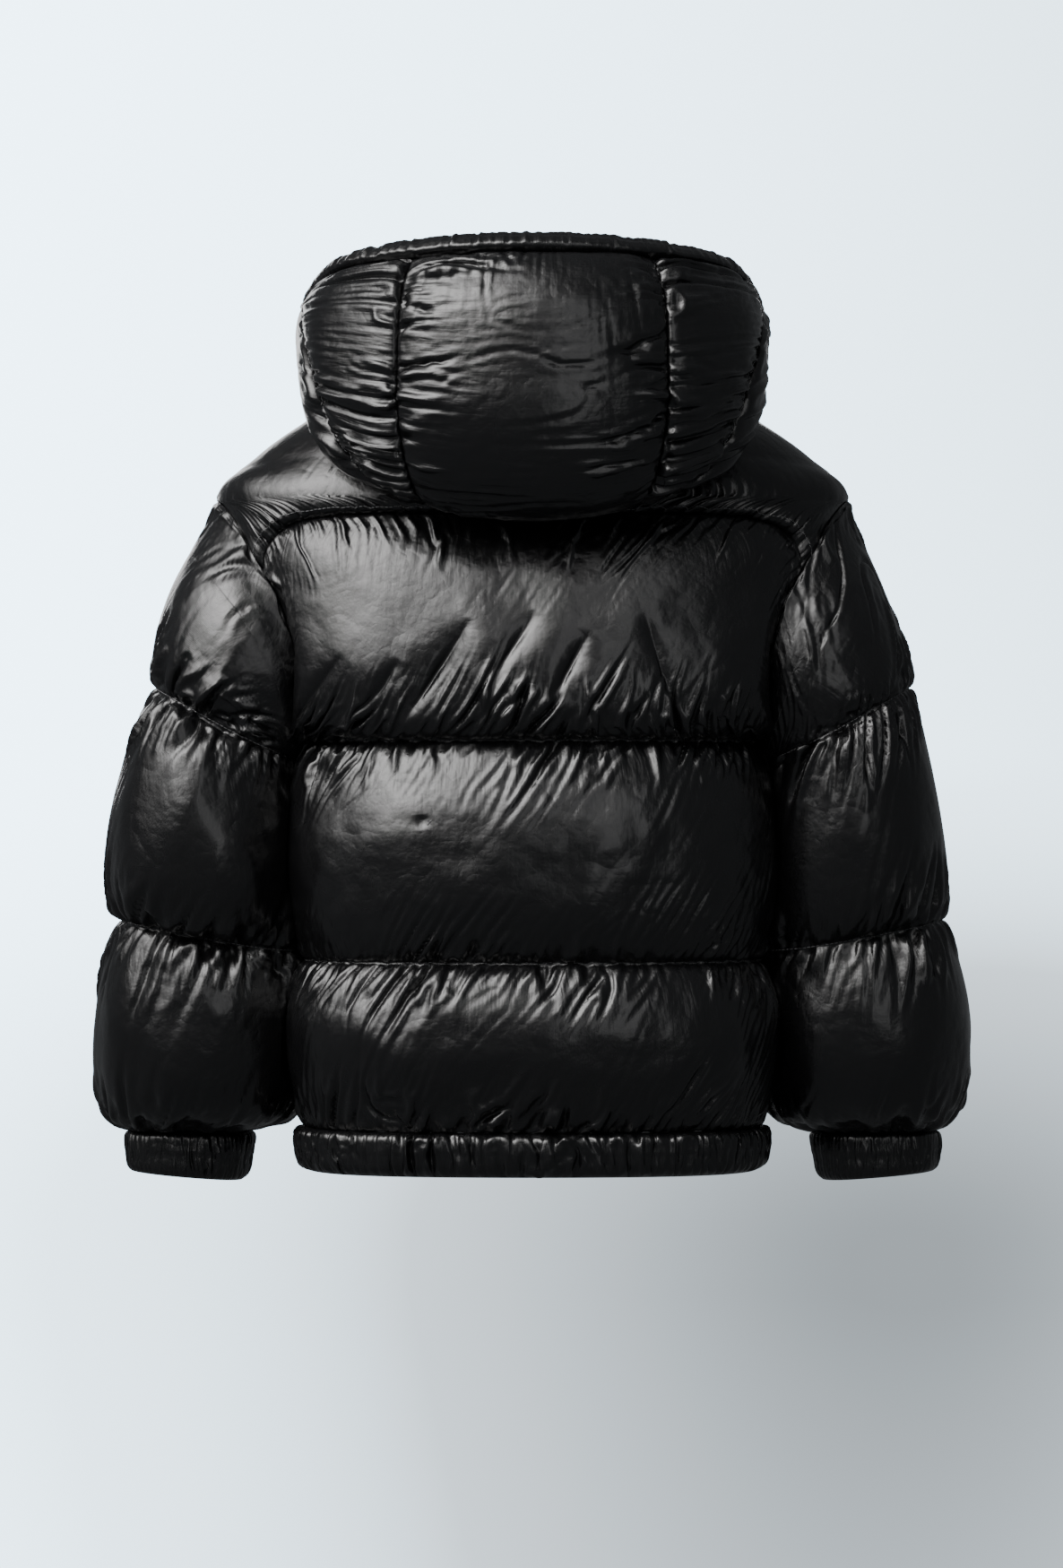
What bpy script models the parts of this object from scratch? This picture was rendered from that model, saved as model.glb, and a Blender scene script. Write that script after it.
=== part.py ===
"""A child's hooded puffer jacket, filled out and zipped up, with no wearer.

Metres, +Z up.  The wearer faces -Y, so the zip is on the -Y side and +X is the wearer's left.
The origin lies in the middle of the neck, level with the neck seam at the nape.

Every piece is a padded wall.  Its inside is a plain surface, lofted through a few sections;
its outside is the same surface raised along its normals: thin at each seam, crowned between
the seams, creased by the largest folds and rippled where elastic gathers it.
"""

import math

import bmesh
import bpy
import numpy as np
from mathutils import Matrix

# ---------------------------------------------------------------- driving dimensions (metres)
SEAM_GAP = 0.0004            # left free between two pieces sewn together
SEAM_WALL = 0.0036           # thickness of the padded wall right at a seam

HEM_BOTTOM = -0.566          # lower edge of the hem band
HEM_SEAM = -0.534            # hem band to body
LOW_QUILT = -0.412           # lower quilting seam round the body
HIGH_QUILT = -0.252          # upper quilting seam round the body, and the armpit
YOKE_MIDDLE = -0.090         # back yoke seam at the centre of the back
YOKE_DROP = 0.043            # how much lower it meets the armhole
FRONT_YOKE_MIDDLE = -0.112   # front yoke seam beside the zip
FRONT_YOKE_DROP = 0.022
SHOULDER_TIP = -0.080        # level of the top of the armhole
NECK_SEAM = 0.0              # level of the neck seam at the nape

ARMHOLE_SPREAD = math.radians(34)   # half the armhole's width, as an angle round the body
ARMHOLE_MIDDLE = (HIGH_QUILT + SHOULDER_TIP) / 2
ARMHOLE_HALF = (SHOULDER_TIP - HIGH_QUILT) / 2
SEAM_LEAN_REACH = 0.018      # how far from a seam a wall still leans with its neighbour
BODY_CROWN = 0.024           # how far the channels of back and front stand proud
SIDE_CROWN = 0.0155          # the same under the arms
DROOP = 0.88                 # how the filling sags in its channels: 1 would be not at all
LOW_DROOP = 0.68             # the same in the lowest channels
YOKE_CROWN = 0.010
SLEEVE_CROWN = 0.017
SLEEVE_INNER_SHARE = 0.15    # share of that crown left where the sleeve lies on the body
HOOD_CROWN = 0.017
HOOD_UNDER_SHARE = 0.20      # share left under the hood, where it lies on the yoke
BAND_CROWN = 0.0075          # hem band, cuffs and brim
EDGE_ROUNDING = 0.045        # distance from a side seam within which a channel rises

HEM_WAVES = 72               # gathers made by the hem's elastic
CUFF_WAVES = 42              # gathers in each cuff
HOOD_SEAM_WAVES = 20         # gathers along each long hood seam
GATHER_DEPTH = 0.0022
HOOD_GATHER_DEPTH = 0.0024
HOOD_GATHER_REACH = 0.022    # how far those run from the seam

ZIP_HALF_WIDTH = 0.0130      # middle of the zip to the edge of a front
TAPE_WALL = 0.0012
TAPE_LIFT = SEAM_WALL * 0.35 # the tapes lie in the depth of the wall
SLIT_HALF_WIDTH = 0.0006     # half the slit between the two tapes
SLIDER_STATION = 0.82        # place of the closed slider up the collar
SLIDER_WIDTH = 0.0082
SLIDER_HEIGHT = 0.0115
SLIDER_PLATE = 0.0016
TEETH_STAND = 0.0009         # room for the teeth under the slider's plate
PIN_RADIUS = 0.0007
PIN_LIFT = 0.0023            # the pull's pin stands this far in front of the slider
LUG_RADIUS = 0.0016
LUG_WIDTH = 0.0012
EYE_RADIUS = 0.0019
EYE_WIDTH = 0.0034
PULL_WALL = 0.0015

BLACK_CLOTH = (0.010, 0.010, 0.011, 1.0)
BLACK_METAL = (0.020, 0.020, 0.022, 1.0)

# Sections round the body, from the hem to the neck.  Each is a rounded oval.  Its level is its
# height at the nape side; the same section is higher or lower at the sides and at the front.
BODY_SECTIONS = (
    # level, side_z, front_z, half_width, back_depth, front_depth, square
    (-0.566, -0.566, -0.566, 0.164, 0.108, 0.103, 0.16),
    (-0.534, -0.534, -0.534, 0.164, 0.108, 0.103, 0.16),
    (-0.412, -0.412, -0.412, 0.165, 0.113, 0.106, 0.14),
    (-0.330, -0.330, -0.330, 0.165, 0.114, 0.106, 0.13),
    (-0.252, -0.252, -0.252, 0.167, 0.113, 0.105, 0.12),
    (-0.200, -0.200, -0.200, 0.188, 0.111, 0.102, 0.12),
    (-0.150, -0.146, -0.150, 0.209, 0.107, 0.098, 0.12),
    (-0.110, -0.102, -0.112, 0.222, 0.102, 0.092, 0.11),
    (-0.080, -0.076, -0.088, 0.222, 0.096, 0.085, 0.10),
    (-0.050, -0.053, -0.067, 0.198, 0.088, 0.078, 0.08),
    (-0.022, -0.018, -0.046, 0.146, 0.078, 0.070, 0.05),
    (0.000, 0.006, -0.028, 0.080, 0.068, 0.062, 0.02),
)

# Sections along a sleeve.  "along" counts channels from the armhole (0) to the cuff seam (3).
SLEEVE_SECTIONS = (
    # along, inner_x, inner_z, outer_x, outer_z, mid_y, half_depth
    (1.0, 0.1885, -0.262, 0.2730, -0.214, -0.004, 0.060),
    (1.5, 0.1905, -0.334, 0.2880, -0.298, -0.028, 0.063),
    (2.0, 0.1800, -0.405, 0.2995, -0.384, -0.044, 0.062),
    (2.5, 0.1850, -0.475, 0.3025, -0.465, -0.046, 0.058),
    (2.8, 0.1900, -0.513, 0.3015, -0.512, -0.046, 0.053),
    (3.0, 0.2120, -0.5405, 0.2970, -0.5405, -0.046, 0.040),
)
SLEEVE_SQUARE = 0.10
SLEEVE_START = np.array([0.94, 0.0, -0.34])         # which way a sleeve leaves its armhole
CUFF_BOTTOM = (0.2170, -0.5770, 0.2975, -0.5700)    # inner_x, inner_z, outer_x, outer_z
ARMHOLE_GAP = 0.0018         # wider than the other seams, because its edge bends two ways
ARMPIT_SET_OUT = 0.0072      # the sleeve starts this far outside the body's wall at the armpit

# The hood runs from the neck seam up a little, back down over the yoke, out, and up to the brim.
# Each row is the section at one angle round the neck (0 in front, 180 at the back), as radius
# and height at ten stations from the seam to the edge of the brim.
HOOD_STATIONS = (0.0, 0.06, 0.14, 0.28, 0.42, 0.55, 0.68, 0.80, 0.93, 1.0)
ROWS_ABOVE_TIP = 4           # rows of a yoke between the armhole's tip and the neck
HOOD_LOW_ROWS = (0.0, 0.03, 0.06, 0.10, 0.14, 0.20, 0.27)   # stations of the fold at the neck
BRIM_SEAM = 0.93
HOOD_LOW_STATION = 0.34      # below this station the hood faces the yoke
HOOD_FREE_REACH = 0.16       # above it the padding swells to its full crown within this much
NECK_BLEND = 0.12            # up to this station the hood still takes the neck seam's own shape
HOOD_SECTIONS = {
    0: ((0.062, 0.066, 0.071, 0.076, 0.080, 0.083, 0.085, 0.086, 0.085, 0.083),
        (-0.027, -0.020, -0.010, 0.002, 0.014, 0.027, 0.039, 0.050, 0.061, 0.067)),
    45: ((0.072, 0.075, 0.082, 0.092, 0.099, 0.105, 0.109, 0.110, 0.109, 0.107),
         (-0.010, 0.001, 0.008, 0.014, 0.020, 0.028, 0.038, 0.049, 0.061, 0.068)),
    90: ((0.080, 0.084, 0.096, 0.122, 0.143, 0.150, 0.154, 0.156, 0.157, 0.156),
         (0.007, 0.017, 0.024, 0.024, 0.013, 0.016, 0.028, 0.042, 0.057, 0.066)),
    112: ((0.077, 0.081, 0.093, 0.125, 0.152, 0.161, 0.165, 0.165, 0.162, 0.158),
          (0.006, 0.017, 0.026, 0.020, -0.004, 0.004, 0.024, 0.047, 0.071, 0.082)),
    135: ((0.075, 0.079, 0.090, 0.126, 0.166, 0.184, 0.190, 0.187, 0.175, 0.167),
          (0.004, 0.016, 0.023, -0.004, -0.052, -0.034, 0.005, 0.046, 0.082, 0.096)),
    180: ((0.068, 0.072, 0.084, 0.110, 0.142, 0.174, 0.190, 0.188, 0.172, 0.161),
          (0.001, 0.014, 0.020, -0.022, -0.082, -0.060, -0.010, 0.042, 0.089, 0.104)),
}
HOOD_CENTRE_SEAM = 152       # degrees round the neck, all the way up
# The wing's seam leaves the centre seam low down and climbs sideways to the brim.
WING_SEAM_STATIONS = (0.0, 0.40, 0.45, 0.50, 0.57, 0.68, 0.80, 0.93)
WING_SEAM_DEGREES = (145, 146.5, 145, 140, 135, 130, 119, 102)

# The largest folds.  x and z place the middle of a fold as seen from behind (or from the front),
# lean is its angle from level, depth is how far it sinks.
BODY_FOLDS = (
    # side, x, z, lean, length, width, depth
    ("back", 0.064, -0.203, 122, 0.100, 0.012, 0.007),
    ("back", 0.096, -0.205, 116, 0.080, 0.011, 0.006),
    ("back", 0.128, -0.190, 108, 0.090, 0.012, 0.006),
    ("back", 0.010, -0.205, 97, 0.090, 0.011, 0.007),
    ("back", -0.026, -0.204, 118, 0.080, 0.011, 0.006),
    ("back", -0.110, -0.185, 78, 0.100, 0.012, 0.006),
    ("back", 0.085, -0.300, 75, 0.080, 0.011, 0.005),
    ("back", -0.020, -0.295, 95, 0.070, 0.011, 0.004),
    ("back", -0.100, -0.300, 104, 0.080, 0.011, 0.005),
    ("back", 0.050, -0.450, 80, 0.070, 0.011, 0.005),
    ("back", -0.070, -0.455, 98, 0.070, 0.011, 0.005),
    ("front", 0.090, -0.190, 118, 0.100, 0.012, 0.006),
    ("front", -0.090, -0.190, 62, 0.100, 0.012, 0.006),
    ("front", 0.080, -0.300, 96, 0.080, 0.011, 0.005),
    ("front", -0.080, -0.300, 84, 0.080, 0.011, 0.005),
)


# ---------------------------------------------------------------- small tools
def smooth_curve(stations, values, at):
    """A smooth curve through rows of values that never overshoots them (monotone cubic)."""
    stations = np.asarray(stations, float)
    values = np.asarray(values, float)
    at = np.clip(np.asarray(at, float), stations[0], stations[-1])
    step = np.diff(stations).reshape((-1,) + (1,) * (values.ndim - 1))
    secant = np.diff(values, axis=0) / step
    slope = np.zeros_like(values)
    slope[0], slope[-1] = secant[0], secant[-1]
    same_way = secant[:-1] * secant[1:] > 0
    both = np.where(same_way, secant[:-1] + secant[1:], 1.0)
    slope[1:-1] = np.where(same_way, 2 * secant[:-1] * secant[1:] / both, 0.0)
    k = np.clip(np.searchsorted(stations, at, side="right") - 1, 0, len(stations) - 2)
    width = stations[k + 1] - stations[k]
    t = (at - stations[k]) / width
    extra = values.ndim - 1
    t = t.reshape(t.shape + (1,) * extra)
    width = width.reshape(width.shape + (1,) * extra)
    return (values[k] * (1 + 2 * t) * (1 - t) ** 2 + slope[k] * width * t * (1 - t) ** 2
            + values[k + 1] * t * t * (3 - 2 * t) + slope[k + 1] * width * t * t * (t - 1))


def rise(distance, reach):
    """0 at a seam, 1 from `reach` on, round as a pillow's edge."""
    t = np.clip(distance / reach, 0, 1)
    return np.sqrt(1 - (1 - t) ** 2)


def channel(share, droop):
    """The crown of one channel from its lower seam (0) to its upper one (1).

    The filling sags: below 1, droop moves the crown down.
    """
    return np.sin(np.pi * np.clip(share, 0, 1) ** droop) ** 0.72


def unit(vectors):
    return vectors / np.linalg.norm(vectors, axis=-1, keepdims=True)


def normals(surface, a, b):
    """Unit normals of surface(a, b), from its two directions."""
    e = 1e-4
    along_a = surface(a + e, b) - surface(a - e, b)
    along_b = surface(a, b + e) - surface(a, b - e)
    return unit(np.cross(along_a, along_b))


def lean(out, shared, distance):
    """Turns the walls' directions towards a shared one near a seam."""
    near = np.exp(-(distance / SEAM_LEAN_REACH) ** 2)[..., None]
    return unit(out * (1 - near) + shared * near)


def rounded_oval(angle, square):
    """Unit oval, a little squarer than an ellipse: its sine side and its cosine side."""
    s, c = np.sin(angle), np.cos(angle)
    return s * (1 + square * c * c), c * (1 + square * s * s)


# ---------------------------------------------------------------- surfaces
def body_surface(level, angle):
    """Inside of the body wall: level as in BODY_SECTIONS, angle 0 in front and pi at the back."""
    level, angle = np.broadcast_arrays(level, angle)
    rows = np.array(BODY_SECTIONS)
    side_z, front_z, half_width, back_depth, front_depth, square = np.moveaxis(
        smooth_curve(rows[:, 0], rows[:, 1:], level), -1, 0)
    across, along = rounded_oval(angle, square)
    behind = np.cos(angle) < 0
    depth = np.where(behind, back_depth, front_depth)
    middle_z = np.where(behind, level, front_z)
    z = side_z + (middle_z - side_z) * np.cos(angle) ** 2
    return np.stack([half_width * across, -depth * along, z], -1)


def armhole_turn(level):
    """How far the armhole cuts past the side line at a level, as an angle."""
    share = (level - ARMHOLE_MIDDLE) / ARMHOLE_HALF
    return ARMHOLE_SPREAD * np.sqrt(np.clip(1 - share ** 2, 0, 1))


def rows_along_armhole(low, high, count):
    """Shares of the way between two levels, spaced evenly round the armhole they run along."""
    above = ROWS_ABOVE_TIP if high > SHOULDER_TIP else 0
    turns = np.arccos(np.clip((np.array([low, high]) - ARMHOLE_MIDDLE) / ARMHOLE_HALF, -1, 1))
    round_it = ARMHOLE_MIDDLE + ARMHOLE_HALF * np.cos(np.linspace(*turns, count - above + 1))
    levels = np.concatenate([round_it, np.linspace(SHOULDER_TIP, high, above + 1)[1:]])
    return (levels - low) / (high - low)


def armhole_place(angle):
    """Level and body angle of the left armhole; angle 0 at the shoulder tip, pi/2 behind."""
    return (ARMHOLE_MIDDLE + ARMHOLE_HALF * np.cos(angle),
            np.pi / 2 + ARMHOLE_SPREAD * np.sin(angle))


def armhole_out(angle):
    """Which way the walls stand at the left armhole: midway between body and sleeve.

    Down at the armpit the two part: the body keeps its own way, so the sleeve sits outside it.
    """
    body = -normals(body_surface, *armhole_place(angle))
    sleeve = normals(sleeve_surface, np.full_like(angle, 0.004), angle)
    shared = 1 - armpit_share(angle)
    return unit(body + shared[..., None] * sleeve), unit(sleeve + shared[..., None] * body)


def armpit_share(angle):
    """1 at the armpit, falling to 0 up the armhole."""
    return ((1 - np.cos(angle)) / 2) ** 2


def oval_section(inner_x, inner_z, outer_x, outer_z, mid_y, half_depth, angle):
    """A tube's section between an inner and an outer point; angle 0 at the outer point."""
    across, along = rounded_oval(angle, SLEEVE_SQUARE)
    reach = (1 + along) / 2
    return np.stack([inner_x + (outer_x - inner_x) * reach, mid_y + half_depth * across,
                     inner_z + (outer_z - inner_z) * reach], -1)


def sleeve_surface(along, angle):
    """Inside of the left sleeve's wall: along counts channels, angle 0 outside, pi/2 behind."""
    along, angle = np.broadcast_arrays(along, angle)
    set_out = ARMHOLE_GAP + ARMPIT_SET_OUT * armpit_share(angle)
    start = body_surface(*armhole_place(angle)) + set_out[..., None] * SLEEVE_START
    rings = [start] + [oval_section(*row[1:], angle) for row in SLEEVE_SECTIONS]
    stations = [0.0] + [row[0] for row in SLEEVE_SECTIONS]
    return pick(stations, rings, along)


def pick(stations, rings, at):
    """Each point of a smooth curve through whole rings, where the place along varies."""
    rings = np.stack(rings, 0)
    flat = rings.reshape(len(stations), -1, 3)
    where = np.asarray(at, float).ravel()
    out = np.empty((flat.shape[1], 3))
    for column in range(flat.shape[1]):
        out[column] = smooth_curve(stations, flat[:, column], where[column:column + 1])[0]
    return out.reshape(rings.shape[1:])


def hood_surface(station, angle):
    """Inside of the hood's wall: station 0 at the neck seam and 1 at the brim's edge."""
    station, angle = np.broadcast_arrays(station, angle)
    folded = np.degrees(np.abs((angle + np.pi) % (2 * np.pi) - np.pi))
    radius = hood_table(0, station, folded)
    height = hood_table(1, station, folded)
    open_shape = np.stack([radius * np.sin(angle), -radius * np.cos(angle), height], -1)
    neck_level = np.full_like(angle, NECK_SEAM)
    neck = (body_surface(neck_level, angle)
            - normals(body_surface, neck_level, angle) * (SEAM_WALL + SEAM_GAP))
    from_table = np.stack([hood_table(0, 0 * station, folded) * np.sin(angle),
                           -hood_table(0, 0 * station, folded) * np.cos(angle),
                           hood_table(1, 0 * station, folded)], -1)
    still_neck = np.clip(1 - station / NECK_BLEND, 0, 1)[..., None] ** 2
    return open_shape + still_neck * (neck - from_table)


def hood_table(which, station, degrees):
    """Radius (0) or height (1) of the hood, smooth both round the neck and up the section."""
    rows = [smooth_curve(HOOD_STATIONS, HOOD_SECTIONS[d][which], station) for d in HOOD_SECTIONS]
    angles = np.array(list(HOOD_SECTIONS), float)
    turn = (1 - np.cos(np.radians(degrees))) / 2
    turns = (1 - np.cos(np.radians(angles))) / 2
    flat = np.stack(rows, 0).reshape(len(rows), -1)
    out = [smooth_curve(turns, flat[:, i], np.atleast_1d(t))[0]
           for i, t in enumerate(np.asarray(turn, float).ravel())]
    return np.array(out).reshape(np.shape(station))


# ---------------------------------------------------------------- solids
def grid_faces(first, rows, columns, around):
    """Quads of a grid of points numbered row by row from `first`."""
    faces = []
    for r in range(rows - 1):
        for c in range(columns if around else columns - 1):
            d = (c + 1) % columns
            faces.append((first + r * columns + c, first + r * columns + d,
                          first + (r + 1) * columns + d, first + (r + 1) * columns + c))
    return faces


def join_lines(a, b, points):
    """Triangles between two lines of points of different counts, by the shorter diagonal."""
    faces, i, j = [], 0, 0
    while i < len(a) - 1 or j < len(b) - 1:
        far = 1e9
        step_a = np.linalg.norm(points[a[i + 1]] - points[b[j]]) if i < len(a) - 1 else far
        step_b = np.linalg.norm(points[b[j + 1]] - points[a[i]]) if j < len(b) - 1 else far
        if step_a <= step_b:
            faces.append((a[i], a[i + 1], b[j]))
            i += 1
        else:
            faces.append((a[i], b[j + 1], b[j]))
            j += 1
    return faces


def wall(name, outer, inner, material, around=False):
    """One closed padded wall from its outer and inner grids of points (rows, columns, 3)."""
    no, mo = outer.shape[:2]
    ni, mi = inner.shape[:2]
    base = no * mo
    points = np.concatenate([outer.reshape(-1, 3), inner.reshape(-1, 3)])
    faces = grid_faces(0, no, mo, around) + grid_faces(base, ni, mi, around)

    def row(first, count, width, r):
        line = [first + (r % count) * width + c for c in range(width)]
        return line + line[:1] if around else line

    def column(first, count, width, c):
        return [first + r * width + (c % width) for r in range(count)]

    for r in (0, -1):
        faces += join_lines(row(0, no, mo, r), row(base, ni, mi, r), points)
    if not around:
        for c in (0, -1):
            faces += join_lines(column(0, no, mo, c), column(base, ni, mi, c), points)
    return solid(name, points, faces, material)


def solid(name, points, faces, material):
    """A closed mesh object with its faces pointing out, shaded smooth."""
    mesh = bpy.data.meshes.new(name)
    mesh.from_pydata([tuple(p) for p in points], [], faces)
    shaped = bmesh.new()
    shaped.from_mesh(mesh)
    bmesh.ops.recalc_face_normals(shaped, faces=shaped.faces)
    bmesh.ops.triangulate(shaped, faces=shaped.faces)
    shaped.to_mesh(mesh)
    shaped.free()
    mesh.materials.append(material)
    mesh.shade_smooth()
    mesh.set_sharp_from_angle(angle=math.radians(50))
    piece = bpy.data.objects.new(name, mesh)
    bpy.context.scene.collection.objects.link(piece)
    return piece


def cloth(name):
    """Glossy black nylon."""
    return principled(name, BLACK_CLOTH, 0.28, 0.0)


def principled(name, colour, roughness, metallic):
    material = bpy.data.materials.new(name)
    material.use_nodes = True
    shader = material.node_tree.nodes["Principled BSDF"]
    shader.inputs["Base Color"].default_value = colour
    shader.inputs["Roughness"].default_value = roughness
    shader.inputs["Metallic"].default_value = metallic
    return material


def mirrored(points):
    return points * np.array([-1.0, 1.0, 1.0])


# ---------------------------------------------------------------- folds and gathers
def fold_depth(points, folds):
    """How far the folds sink each point, told from where it lies seen from behind or in front."""
    sunk = np.zeros(points.shape[:-1])
    for side, x, z, turned, length, width, depth in folds:
        there = points[..., 1] > 0 if side == "back" else points[..., 1] < 0
        dx, dz = points[..., 0] - x, points[..., 2] - z
        c, s = math.cos(math.radians(turned)), math.sin(math.radians(turned))
        lengthways, crossways = (dx * c + dz * s) / (length / 2), (dz * c - dx * s) / width
        shape = np.exp(-crossways ** 2) * np.clip(1 - lengthways ** 2, 0, 1)
        sunk += np.where(there, depth * shape, 0.0)
    return sunk


def unevenness(phase):
    """A slow, repeatable swell that keeps gathers from looking alike; about 0.45 to 1.15."""
    return 0.8 + 0.2 * np.sin(phase * 1.7 + 0.4) + 0.15 * np.sin(phase * 0.73 + 2.1)


def gathers(columns):
    """Alternate crests and troughs, one column each, of uneven depth."""
    index = np.arange(columns)
    return np.where(index % 2 == 0, 1.0, -1.0) * unevenness(index)


# ---------------------------------------------------------------- body
def yoke_level(share, middle, drop):
    """Level of the yoke seam; share runs from -1 to 1 between the armholes."""
    return middle - drop * np.abs(share) ** 4


def body_panel(name, low, high, first_angle, last_angle, columns, rows, seams, crown, material,
               armhole_edges=(), inner_columns=10, inner_rows=(2, 2)):
    """A panel of the body between two levels and two side lines.

    low and high give the panel's lower and upper level at a share across it (0 to 1);
    first_angle and last_angle give its side lines at a level.  seams are the quilted levels that
    cross it, rows how many steps each channel gets.  armhole_edges names the side lines that
    run along an armhole, as (column, side of the body, 1 behind or -1 in front).
    """
    def grid(across, steps):
        shares = np.linspace(0, 1, across + 1)
        levels, heights = [], []
        edges = [low(shares)] + [np.full_like(shares, s) for s in seams] + [high(shares)]
        for k, count in enumerate(steps):
            part = np.linspace(0, 1, count + 1)[:-1]
            if k == len(steps) - 1:
                column = armhole_edges[0][0]
                part = rows_along_armhole(edges[k][column], edges[k + 1][column], count)
            for p in part:
                levels.append(edges[k] + (edges[k + 1] - edges[k]) * p)
                heights.append(np.full_like(shares, p))
        levels, heights = np.array(levels), np.array(heights)
        first, last = first_angle(levels), last_angle(levels)
        angles = first + (last - first) * shares
        return levels, angles, heights, shares

    levels, angles, heights, shares = grid(columns, rows)
    inside = body_surface(levels, angles)
    out = -normals(body_surface, levels, angles)
    from_first = np.linalg.norm(inside - inside[:, :1], axis=-1)
    from_last = np.linalg.norm(inside - inside[:, -1:], axis=-1)
    rounding = rise(from_first, EDGE_ROUNDING) * rise(from_last, EDGE_ROUNDING)
    for column, side_sign, behind in armhole_edges:
        share = (levels[:, column] - ARMHOLE_MIDDLE) / ARMHOLE_HALF
        shared = armhole_out(behind * np.arccos(np.clip(share, -1, 1)))[0]
        from_edge = from_last if column else from_first
        distance = np.where(np.abs(share) < 1, 0, 1)[:, None] + from_edge
        out = lean(out, (shared * np.array([side_sign, 1, 1]))[:, None], distance)
    side = np.abs(np.sin(angles)) ** 6
    below_arm = levels < HIGH_QUILT + 0.001
    proud = np.where(below_arm, crown + (SIDE_CROWN - crown) * side, crown)
    droop = np.where(levels < LOW_QUILT, LOW_DROOP, DROOP)
    raised = SEAM_WALL + proud * channel(heights, droop) * rounding
    raised -= np.minimum(fold_depth(inside, BODY_FOLDS), 0.6 * (raised - SEAM_WALL))
    levels_in, angles_in, _, _ = grid(inner_columns, inner_rows)
    return wall(name, inside + out * raised[..., None], body_surface(levels_in, angles_in), material)


def make_body(material):
    gap = SEAM_GAP / 0.165              # the seam gap as an angle round the body

    def left_of_back(level):
        return np.pi / 2 + armhole_turn(level) + gap

    def right_of_back(level):
        return 3 * np.pi / 2 - armhole_turn(level) - gap

    def front_outer(level):
        return np.pi / 2 - armhole_turn(level) - gap

    def front_inner(level):
        half_width = np.linalg.norm(body_surface(level, np.full_like(level, 0.12))[..., :1], axis=-1)
        return 0.12 * ZIP_HALF_WIDTH / half_width

    def flat(level):
        return lambda share: np.full_like(share, level)

    half_gap = SEAM_GAP / 2
    body_panel("back", flat(HEM_SEAM + half_gap),
               lambda s: yoke_level(2 * s - 1, YOKE_MIDDLE, YOKE_DROP) - half_gap,
               left_of_back, right_of_back, 32, (7, 8, 8), (LOW_QUILT, HIGH_QUILT), BODY_CROWN,
               material, ((0, 1, 1), (-1, -1, 1)), inner_columns=12, inner_rows=(2, 2, 3))
    body_panel("back_yoke", lambda s: yoke_level(2 * s - 1, YOKE_MIDDLE, YOKE_DROP) + half_gap,
               flat(NECK_SEAM), left_of_back, right_of_back, 32, (9,), (), YOKE_CROWN,
               material, ((0, 1, 1), (-1, -1, 1)), inner_columns=12, inner_rows=(7,))
    for name, sign in (("left", 1), ("right", -1)):
        def outer(level, sign=sign):
            return sign * front_outer(level)

        def inner(level, sign=sign):
            return sign * front_inner(level)

        body_panel("front_" + name, flat(HEM_SEAM + half_gap),
                   lambda s: yoke_level(1 - s, FRONT_YOKE_MIDDLE, FRONT_YOKE_DROP) - half_gap,
                   outer, inner, 14, (7, 8, 7), (LOW_QUILT, HIGH_QUILT), BODY_CROWN, material,
                   ((0, sign, -1),), inner_columns=6, inner_rows=(2, 2, 3))
        body_panel("front_yoke_" + name,
                   lambda s: yoke_level(1 - s, FRONT_YOKE_MIDDLE, FRONT_YOKE_DROP) + half_gap,
                   flat(NECK_SEAM), outer, inner, 14, (9,), (), YOKE_CROWN, material,
                   ((0, sign, -1),), inner_columns=6, inner_rows=(7,))


def make_hem_band(material):
    columns = 2 * HEM_WAVES + 1
    start = 0.12 * ZIP_HALF_WIDTH / body_surface(HEM_SEAM, 0.12)[0]
    angles = np.linspace(start, 2 * np.pi - start, columns)
    shares = np.array([0.0, 0.3, 0.72, 1.0])
    top = HEM_SEAM - SEAM_GAP / 2
    levels = top + (HEM_BOTTOM - top) * shares
    level_grid, angle_grid = np.meshgrid(levels, angles, indexing="ij")
    inside = body_surface(level_grid, angle_grid)
    out = -normals(body_surface, level_grid, angle_grid)
    ends = np.minimum(np.arange(columns), np.arange(columns)[::-1]) / 3
    ripple = GATHER_DEPTH * gathers(columns) * np.clip(ends, 0, 1)
    crown = np.array([0.0, 1.0, 0.9, 0.15])[:, None] * BAND_CROWN * np.clip(0.35 + ends, 0, 1)
    tied = np.array([0.35, 1.0, 1.0, 0.8])[:, None]
    raised = SEAM_WALL + crown + tied * ripple + 0.0009
    inner_angles = np.linspace(start, 2 * np.pi - start, 37)
    inner = body_surface(*np.meshgrid(levels[[0, -1]], inner_angles, indexing="ij"))
    wall("hem_band", inside + out * raised[..., None], inner, material)


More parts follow.
